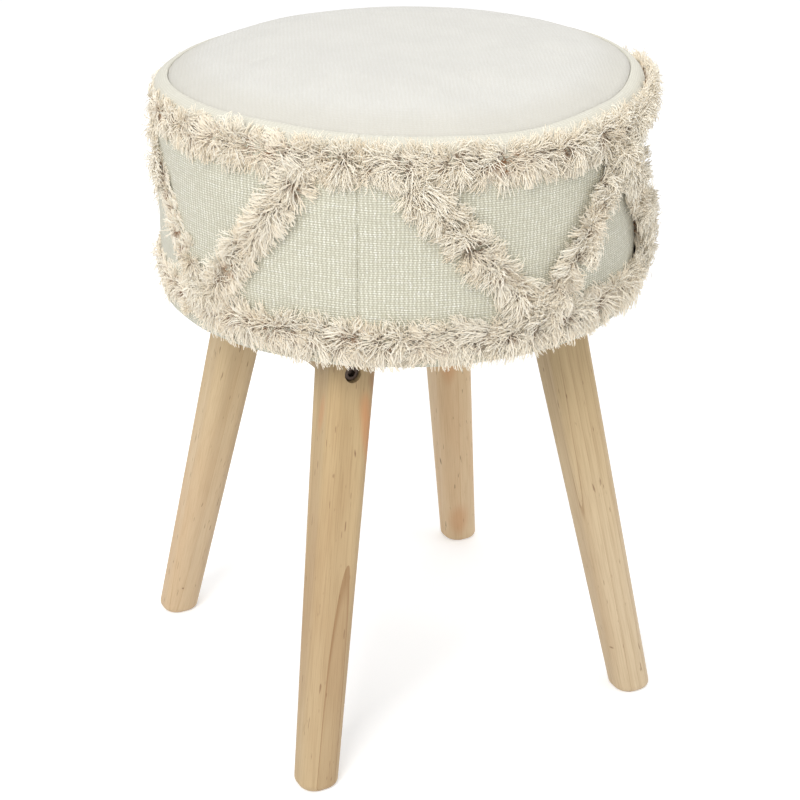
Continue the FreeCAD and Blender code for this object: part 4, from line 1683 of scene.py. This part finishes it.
@dataclass
class Padding:
    """The foam of the seat and the wadding round the drum, inside the cover."""

    drum: Drum
    foam_radius: float = 146.5 * MM
    foam_bottom: float = 410.0 * MM
    foam_edge: float = 436.5 * MM
    foam_round: float = 6.0 * MM
    round_points: int = 6
    edge_slack: float = 1.0 * MM
    foam_core: float = 0.05 * MM
    dome_shares: tuple[float, float] = (0.94, 0.0005)
    dome_points: int = 14
    foam_wave: float = 0.3 * MM
    wave_scale: float = 40.0
    wave_start: float = 20.0 * MM
    wadding: tuple[float, float] = (154.0 * MM, 158.4 * MM)
    wadding_run: tuple[float, float] = (304.0 * MM, 430.0 * MM)
    wadding_points: int = 30
    wadding_ease: float = 0.6 * MM
    columns: int = 160

    def turned(
        self, name: str, profile: Sequence[tuple[float, float]], wave: float, ends: Ends
    ) -> bpy.types.Mesh:
        """A closed form turned round the Z axis, a little uneven.

        Args:
            name: the mesh's name.
            profile: radius and height of its outline.
            wave: how uneven its surface is.
            ends: how its first and last rows close it.

        Returns:
            The mesh.
        """
        rows = []
        for radius, height in profile:
            row = []
            for index in range(self.columns):
                point = around(360 * index / self.columns) * radius + UP * height
                uneven = noise.noise(point * self.wave_scale) * wave * min(1.0, radius / self.wave_start)
                row.append(tuple(point + UP * uneven))
            rows.append(row)
        return skin(name, np.array(rows), ends=ends)

    def foam_mesh(self) -> bpy.types.Mesh:
        """Makes the foam, crowned and lifted as the cover over it is.

        Returns:
            The mesh.
        """
        radius, bend = self.foam_radius, self.foam_round
        turns = np.linspace(0, math.pi / 2, self.round_points)
        side = [
            (radius - bend * (1 - math.cos(t)), self.foam_edge - bend * (1 - math.sin(t))) for t in turns
        ]
        dome = [(radius * s, self.foam_edge) for s in np.linspace(*self.dome_shares, self.dome_points)]
        base = [(self.foam_core, self.foam_bottom), (radius, self.foam_bottom)]
        mesh = self.turned("seat_pad", [*base, *side, *dome], self.foam_wave, Ends.CAPPED)
        for vertex in mesh.vertices:
            if vertex.co.z > self.foam_edge - self.edge_slack:
                vertex.co.z += self.drum.dome(vertex.co.x, vertex.co.y)
            vertex.co = self.drum.raised(vertex.co)
        return mesh

    def wadding_mesh(self) -> bpy.types.Mesh:
        """Makes the wadding.

        Returns:
            The mesh.
        """
        (inner, outer), (low, high) = self.wadding, self.wadding_run
        heights = np.linspace(low, high, self.wadding_points)
        wall = [(outer - self.wadding_ease * (h in (low, high)), h) for h in heights]
        return self.turned("side_wadding_layer", [(inner, low), *wall, (inner, high)], 0.0, Ends.JOINED)

    def build(self, foam: Speckled, wadding: Speckled) -> list[bpy.types.Object]:
        """Makes the foam and the wadding, and hides their CAD nodes.

        Args:
            foam: finish of the foam.
            wadding: finish of the wadding.

        Returns:
            The foam and the wadding.
        """
        pad = show("seat_pad", self.foam_mesh(), foam.material())
        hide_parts("seat_foam")
        layer = show("side_wadding_layer", self.wadding_mesh(), wadding.material())
        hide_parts("side_wadding")
        return [pad, layer]


@dataclass
class Underside:
    """The cloth that closes the drum underneath, and the staples that hold it and the hem.

    The cloth starts to step down onto the hem hem_clear inside the hem's edge. Stagger and lean are how
    far the staples are off, and how fast that changes from one to the next.
    """

    radius: float = 152.0 * MM
    thickness: float = 0.4 * MM
    steps: int = 96
    hem_radius: float = 139.0 * MM
    hem_clear: float = 8.0 * MM
    hem_step: float = 4.0 * MM
    low: float = 296.5 * MM
    high: float = 298.05 * MM
    sag: float = 0.25 * MM
    sag_scale: float = 30.0
    sag_plane: float = 0.1
    staples: int = 30
    staple_radius: float = 147.0 * MM
    staple_sink: float = 0.2 * MM
    staple_half: float = 5.0 * MM
    staple_leg: float = 5.0 * MM
    wire: float = 0.9 * MM
    wire_sides: int = 6
    stagger: tuple[float, float] = (0.2, 2.3)
    lean: tuple[float, float] = (0.22, 1.7)

    def cloth_mesh(self) -> bpy.types.Mesh:
        """Makes the dust cover, which faces down and lies over the hem at its edge.

        Returns:
            The outer face of the cloth.
        """
        flat, faces = round_grid(self.steps)
        points = []
        for x, y in flat * self.radius:
            past = math.hypot(x, y) - self.hem_radius + self.hem_clear
            over = min(max(past / self.hem_step, 0.0), 1.0)
            uneven = abs(noise.noise(Vector((x, y, self.sag_plane)) * self.sag_scale))
            points.append((x, y, self.high + (self.low - self.high) * over - uneven * self.sag * (1 - over)))
        mesh = mesh_of("dust_cloth", points, [face[::-1] for face in faces])
        mesh.shade_smooth()
        return mesh

    def staple(self) -> Bar:
        """Shapes one staple, its legs up and its corners cut.

        Returns:
            The staple.
        """
        half, leg, wire = self.staple_half, self.staple_leg, self.wire
        left = [(-half, 0, -leg), (-half, 0, -wire), (wire - half, 0, 0)]
        return Bar([*left, *((-x, y, z) for x, y, z in reversed(left))], wire, self.wire_sides)

    def staple_places(self) -> list[Spot]:
        """Finds where the staples lie round the hem, as uneven as a hand sets them.

        Returns:
            For each staple its place, the way it runs and the way it faces.
        """
        (off, off_change), (lean, lean_change) = self.stagger, self.lean
        places = []
        for index in range(self.staples):
            level = around(360 * (index + off * math.sin(index * off_change)) / self.staples)
            way = UP.cross(level) + level * (lean * math.sin(index * lean_change))
            spot = level * self.staple_radius + UP * (self.low - self.staple_sink)
            places.append((spot, way, -UP))
        return places

    def build(self, cloth: Speckled, steel: Speckled) -> list[bpy.types.Object]:
        """Makes the dust cover and its staples.

        Args:
            cloth: finish of the dust cover.
            steel: finish of the staples.

        Returns:
            The dust cover and the staples.
        """
        sheet = show("dust_cloth", self.cloth_mesh(), cloth.material())
        thicken(sheet, self.thickness)
        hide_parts("dust_cover")
        finish = steel.material()
        made = set_out("hem_staples", self.staple(), self.staple_places(), finish)
        return [sheet, show("hem_staples", made, finish)]


# The wooden frame


def coat(node: bpy.types.Object, material: bpy.types.Material) -> None:
    """Gives a CAD node one finish all over.

    Args:
        node: the node's object.
        material: its finish.
    """
    node.data.materials.clear()
    node.data.materials.append(material)
    LOG.info("%s: %s", node.name, material.name)


@dataclass
class Legs:
    """The four legs, each from its own place in the log, with their bolts, nuts and dowels."""

    splay: float = 9.7
    orange: Colour = (196, 138, 90)
    brown: Colour = (158, 106, 66)

    def marks(self) -> dict[Quarter, tuple[WoodMark, ...]]:
        """Places the marks of each leg.

        Returns:
            The front left leg's resin and tints, and the knot, scratch and streaks of the others.
        """
        resin = (1.0 * MM, 1.0 * MM, 5.0 * MM)
        return {
            Quarter.FRONT_LEFT: (
                WoodMark((-0.0945, -0.1028, 0.2302), resin, 0.7),
                WoodMark((-0.0854, -0.1045, 0.2254), resin, 0.8),
                WoodMark((-0.1044, -0.1063, 0.1946), resin, 0.7),
                WoodMark((-0.1005, -0.0879, 0.2500), (5 * MM, 5 * MM, 22 * MM), 0.4, self.orange),
                WoodMark((-0.0750, -0.1020, 0.2360), (7 * MM, 7 * MM, 42 * MM), 0.7, self.orange),
                WoodMark((-0.0665, -0.0975, 0.2700), (7 * MM, 5 * MM, 16 * MM), 0.6, self.brown),
                WoodMark((-0.0745, -0.0995, 0.2540), (8 * MM, 5 * MM, 16 * MM), 0.4, self.orange),
            ),
            Quarter.FRONT_RIGHT: (
                WoodMark((0.1089, -0.1289, 0.0373), (2.6 * MM, 2.6 * MM, 1.2 * MM), 0.7),
            ),
            Quarter.BACK_LEFT: (
                WoodMark((-0.1292, 0.1101, 0.0247), (1.3 * MM, 1.3 * MM, 1.3 * MM), 0.8),
            ),
            Quarter.BACK_RIGHT: (
                WoodMark((0.0989, 0.1088, 0.0847), (1.4 * MM, 1.4 * MM, 6.0 * MM), 0.9),
                WoodMark((0.1179, 0.1099, 0.0230), (12 * MM, 12 * MM, 24 * MM), 0.45, self.orange),
                WoodMark((0.0900, 0.0830, 0.1850), (10 * MM, 10 * MM, 30 * MM), 0.5, self.orange),
                WoodMark((0.0903, 0.0878, 0.1622), (1.0 * MM, 1.0 * MM, 9.0 * MM), 0.6),
            ),
        }

    def woods(self) -> dict[Quarter, Pine]:
        """Chooses the wood of each leg.

        Returns:
            The front left leg's wood with a flame of late wood, the front right one's with straight
            lines, and the plainer wood of the back legs.
        """
        lean, marks = self.splay, self.marks()
        # Each leg's multiplier near the seat is painted shade under the drum, darker towards the leg's top.
        return {
            Quarter.FRONT_LEFT: Pine(
                "leg_pine_front_left",
                pith=(-0.1244, -0.1876, 0.0),
                tilt=(-8.42, 9.77, 0),
                early=(193, 169, 131),
                late=(138, 100, 60),
                ring=23.71 * MM,
                waver=1.0 * MM,
                uneven=0.0,
                contrast=0.65,
                seat_shade=(1.0, 0.97, 0.88),
                marks=marks[Quarter.FRONT_LEFT],
            ),
            Quarter.FRONT_RIGHT: Pine(
                "leg_pine_front_right",
                pith=(0.24, -0.09, 0.0),
                tilt=(-lean, -lean, 0),
                early=(205, 184, 151),
                late=(150, 116, 78),
                ring=6.0 * MM,
                waver=3.0 * MM,
                contrast=0.55,
                seat_shade=(0.86, 0.8, 0.64),
                marks=marks[Quarter.FRONT_RIGHT],
            ),
            Quarter.BACK_LEFT: Pine(
                "leg_pine_back_left",
                pith=(-0.150, 0.100, 0.0),
                tilt=(lean - 1.0, lean + 1.0, 0),
                early=(208, 184, 150),
                late=(180, 144, 102),
                ring=14.0 * MM,
                waver=3.0 * MM,
                contrast=0.5,
                seat_shade=(0.9, 0.89, 0.78),
                marks=marks[Quarter.BACK_LEFT],
            ),
            Quarter.BACK_RIGHT: Pine(
                "leg_pine_back_right",
                pith=(0.105, 0.160, 0.0),
                tilt=(lean + 1.5, -lean - 1.0, 0),
                early=(220, 195, 158),
                late=(192, 152, 108),
                ring=14.0 * MM,
                waver=3.0 * MM,
                contrast=0.5,
                seat_shade=(0.96, 0.92, 0.82),
                marks=marks[Quarter.BACK_RIGHT],
            ),
        }

    def dress(self, nodes: dict[str, bpy.types.Object], black: Speckled, zinc: Speckled, beech: Pine) -> None:
        """Gives the CAD legs and their fastenings their finishes.

        Args:
            nodes: the CAD nodes by name.
            black: finish of the bolts.
            zinc: finish of the barrel nuts.
            beech: finish of the dowels.
        """
        for quarter, wood in self.woods().items():
            coat(nodes["leg_" + quarter.value], wood.material())
        coat(nodes["leg_bolts"], black.material())
        coat(nodes["barrel_nuts"], zinc.material())
        coat(nodes["leg_dowels"], beech.material())


@dataclass
class DrumFrame:
    """The plywood drum, its posts, the rails under it and the screws that hold them."""

    board: Plywood = Plywood("board_plywood")
    wall: Plywood = Plywood("wall_plywood", face=(208, 176, 132), edge=(160, 118, 74), ply=2.0 * MM)
    post: Pine = Pine("post_pine", pith=(0.02, 0.3, 0.0), tilt=(0.0, 0.0, 0.0), gloss=0.6)
    rail_tilt: Place = (90.0, 0.0, 0.0)
    rail_pith_aside: float = 130.0 * MM
    rail_pith_height: float = 330.0 * MM

    def dress(self, nodes: dict[str, bpy.types.Object], zinc: Speckled) -> None:
        """Gives the CAD boards, wall, posts, rails and screws their finishes.

        Args:
            nodes: the CAD nodes by name.
            zinc: finish of the screws.
        """
        board, post = self.board.material(), self.post.material()
        for name in ("top_board", "base_board"):
            coat(nodes[name], board)
        coat(nodes["drum_wall"], self.wall.material())
        for quarter in Quarter:
            coat(nodes["post_" + quarter.value], post)
        for side, way in (("left", -1), ("right", 1)):
            pith = (way * self.rail_pith_aside, 0.0, self.rail_pith_height)
            rail = Pine("rail_pine_" + side, pith=pith, tilt=self.rail_tilt)
            coat(nodes["rail_" + side], rail.material())
        steel = zinc.material()
        for name in ("rail_screws", "post_screws"):
            coat(nodes[name], steel)


# Studio


@dataclass(frozen=True)
class SoftBox:
    """A square lamp that gives soft light, with its power in watts."""

    name: str
    place: Place
    size: float
    power: float


@dataclass
class Studio:
    """A white sweep of floor, soft light and the camera that sees the stool as the photograph does.

    The heading is in degrees from +Y towards +X, the camera's other turns are in radians, and its lens
    and sensor are in millimetres.
    """

    eye: Place = (-0.5196, -0.9814, 0.7117)
    heading: float = 27.9
    aside: float = 0.002
    down: float = 0.429
    roll: float = 0.007
    lens: float = 76.78
    sensor: float = 36.0
    clip: tuple[float, float] = (0.05, 50.0)
    sky: float = 0.62
    floor_tone: float = 0.86
    floor_glow: float = 0.35
    floor_half: float = 8.0
    middle: Place = (0.0, 0.0, 0.3)
    lamps: tuple[SoftBox, ...] = (
        SoftBox("key", (-1.6, -1.4, 2.0), size=1.2, power=43.0),
        SoftBox("fill", (1.9, -1.3, 1.4), size=1.8, power=12.0),
        SoftBox("over", (0.1, 0.3, 2.6), size=1.6, power=14.0),
    )

    def camera(self) -> None:
        """Sets the camera."""
        turn = math.radians(self.heading) + self.aside
        level = Vector((math.sin(turn), math.cos(turn), 0))
        ahead = level * math.cos(self.down) - UP * math.sin(self.down)
        side = ahead.cross(UP).normalized()
        above = side.cross(ahead)
        facing = Matrix((side, above, -ahead)).transposed() @ Matrix.Rotation(self.roll, 3, "Z")
        data = bpy.data.cameras.new("camera")
        data.sensor_width, data.lens = self.sensor, self.lens
        data.clip_start, data.clip_end = self.clip
        camera = in_scene("camera", data)
        camera.matrix_world = Matrix.Translation(self.eye) @ facing.to_4x4()
        bpy.context.scene.camera = camera

    def hang(self, box: SoftBox) -> None:
        """Hangs a soft box.

        Args:
            box: the soft box.
        """
        data = bpy.data.lights.new(box.name, "AREA")
        data.size, data.energy = box.size, box.power
        lamp = in_scene(box.name, data)
        lamp.location = box.place
        lamp.rotation_mode = "QUATERNION"
        lamp.rotation_quaternion = (Vector(self.middle) - Vector(box.place)).to_track_quat("-Z", "Y")

    def seen(self, tree: Tree) -> Socket:
        """Tells the rays that show the backdrop.

        Args:
            tree: the tree of the backdrop's shader.

        Returns:
            1 for a ray from the camera, a gloss or a glass, and 0 for any other.
        """
        path = tree.add("ShaderNodeLightPath").outputs
        bounced = tree.math("MAXIMUM", path["Is Glossy Ray"], path["Is Transmission Ray"])
        return tree.math("MAXIMUM", path["Is Camera Ray"], bounced)

    def world(self) -> None:
        """Sets soft light from all round, white to the camera."""
        world = bpy.data.worlds.new("studio")
        bpy.context.scene.world = world
        world.use_nodes = True
        tree = Tree(world.node_tree)
        tree.tree.nodes.clear()
        light, white = (
            tree.add("ShaderNodeBackground", {"Color": WHITE, "Strength": strength}).outputs[0]
            for strength in (self.sky, 1.0)
        )
        both = tree.add("ShaderNodeMixShader", {0: self.seen(tree), 1: light, 2: white})
        tree.add("ShaderNodeOutputWorld", {"Surface": both.outputs[0]})

    def floor(self) -> None:
        """Lays a wide pale floor that keeps the stool's shadow."""
        material, tree, shader = new_material("floor", Roughness=0.9)
        shader.inputs["Base Color"].default_value = (self.floor_tone, self.floor_tone, self.floor_tone, 1.0)
        strength = tree.math("MULTIPLY", self.seen(tree), self.floor_glow)
        glow = tree.add("ShaderNodeEmission", {"Color": WHITE, "Strength": strength})
        both = tree.add("ShaderNodeAddShader", {0: shader.outputs[0], 1: glow.outputs[0]})
        tree.put(tree.tree.nodes["Material Output"].inputs["Surface"], both.outputs[0])
        half = self.floor_half
        corners = [(-half, -half, 0), (half, -half, 0), (half, half, 0), (-half, half, 0)]
        mesh = mesh_of("floor", corners, [(0, 1, 2, 3)])
        mesh.materials.append(material)
        floor = in_scene("floor", mesh)

    def build(self) -> None:
        """Sets the camera, the light and the floor."""
        bpy.context.scene.view_settings.view_transform = "Standard"
        self.camera()
        self.world()
        self.floor()
        for box in self.lamps:
            self.hang(box)


# The stool


@dataclass(frozen=True)
class Finishes:
    """The finishes of the cover, the padding, the fringe and the fastenings."""

    panel: Cotton = Cotton(
        "top_cotton",
        thread=(210, 209, 204),
        gap_shade_and_dark_thread=(190, 185, 171),
        slub=(214, 213, 208),
        pitch=1.4 * MM,
        gap_shade_share=0.3,
        depth=0.25 * MM,
        uneven=0.1,
        slubs=0.3,
        turn=24.0,
        rim=122.0 * MM,
    )
    band: Cotton = Cotton(
        "side_cotton",
        thread=(240, 239, 224),
        gap_shade_and_dark_thread=(182, 178, 157),
        slub=(250, 249, 240),
        pitch=1.45 * MM,
        gap_shade_share=1.0,
        depth=0.55 * MM,
        uneven=0.48,
        slubs=0.9,
        shoulder_shade=428.0 * MM,
    )
    yarn: Yarn = Yarn()
    thread: Speckled = Speckled(
        "sewing_thread",
        light=(238, 234, 222),
        dark=(206, 198, 180),
        grain=0.3 * MM,
        rough=(0.8, 0.9),
        depth=0.05 * MM,
    )
    foam: Speckled = Speckled(
        "seat_foam",
        light=(236, 226, 192),
        dark=(206, 190, 148),
        grain=1.2 * MM,
        rough=(0.85, 0.95),
        depth=0.4 * MM,
    )
    wadding: Speckled = Speckled(
        "wadding",
        light=(240, 239, 234),
        dark=(216, 214, 206),
        grain=2.0 * MM,
        rough=(0.9, 0.98),
        depth=0.5 * MM,
    )
    dust: Speckled = Speckled(
        "dust_cloth",
        light=(52, 52, 53),
        dark=(34, 34, 35),
        grain=0.8 * MM,
        rough=(0.85, 0.95),
        depth=0.1 * MM,
    )
    black: Speckled = Speckled(
        "black_steel",
        light=(96, 76, 62),
        dark=(52, 42, 35),
        grain=0.6 * MM,
        rough=(0.35, 0.5),
        depth=0.05 * MM,
        metallic=0.4,
    )
    zinc: Speckled = Speckled(
        "zinc_steel",
        light=(196, 198, 200),
        dark=(150, 152, 155),
        grain=0.5 * MM,
        rough=(0.3, 0.5),
        depth=0.03 * MM,
        metallic=1.0,
    )
    beech: Pine = Pine(
        "beech_dowel",
        pith=(0.0, 0.0, 0.4),
        tilt=(90.0, 0.0, 0.0),
        early=(206, 168, 126),
        late=(176, 132, 90),
        ring=2.0 * MM,
        gloss=0.6,
    )


def main() -> None:
    """Builds and dresses the stool and sets the studio."""
    logging.basicConfig(level=logging.INFO, format="%(name)s: %(message)s")
    nodes, finishes = frame["nodes"], Finishes()
    Studio().build()
    drum, underside = Drum(), Underside()
    cover = SeatCover(drum)
    top, side, sewn = cover.build(finishes.panel, finishes.band, finishes.thread)
    fringe = Fringe(drum).build(finishes.yarn)
    Padding(drum).build(finishes.foam, finishes.wadding)
    sheet, staples = underside.build(finishes.dust, finishes.zinc)
    Legs().dress(nodes, finishes.black, finishes.zinc, finishes.beech)
    DrumFrame().dress(nodes, finishes.zinc)


if __name__ == "__main__":
    main()
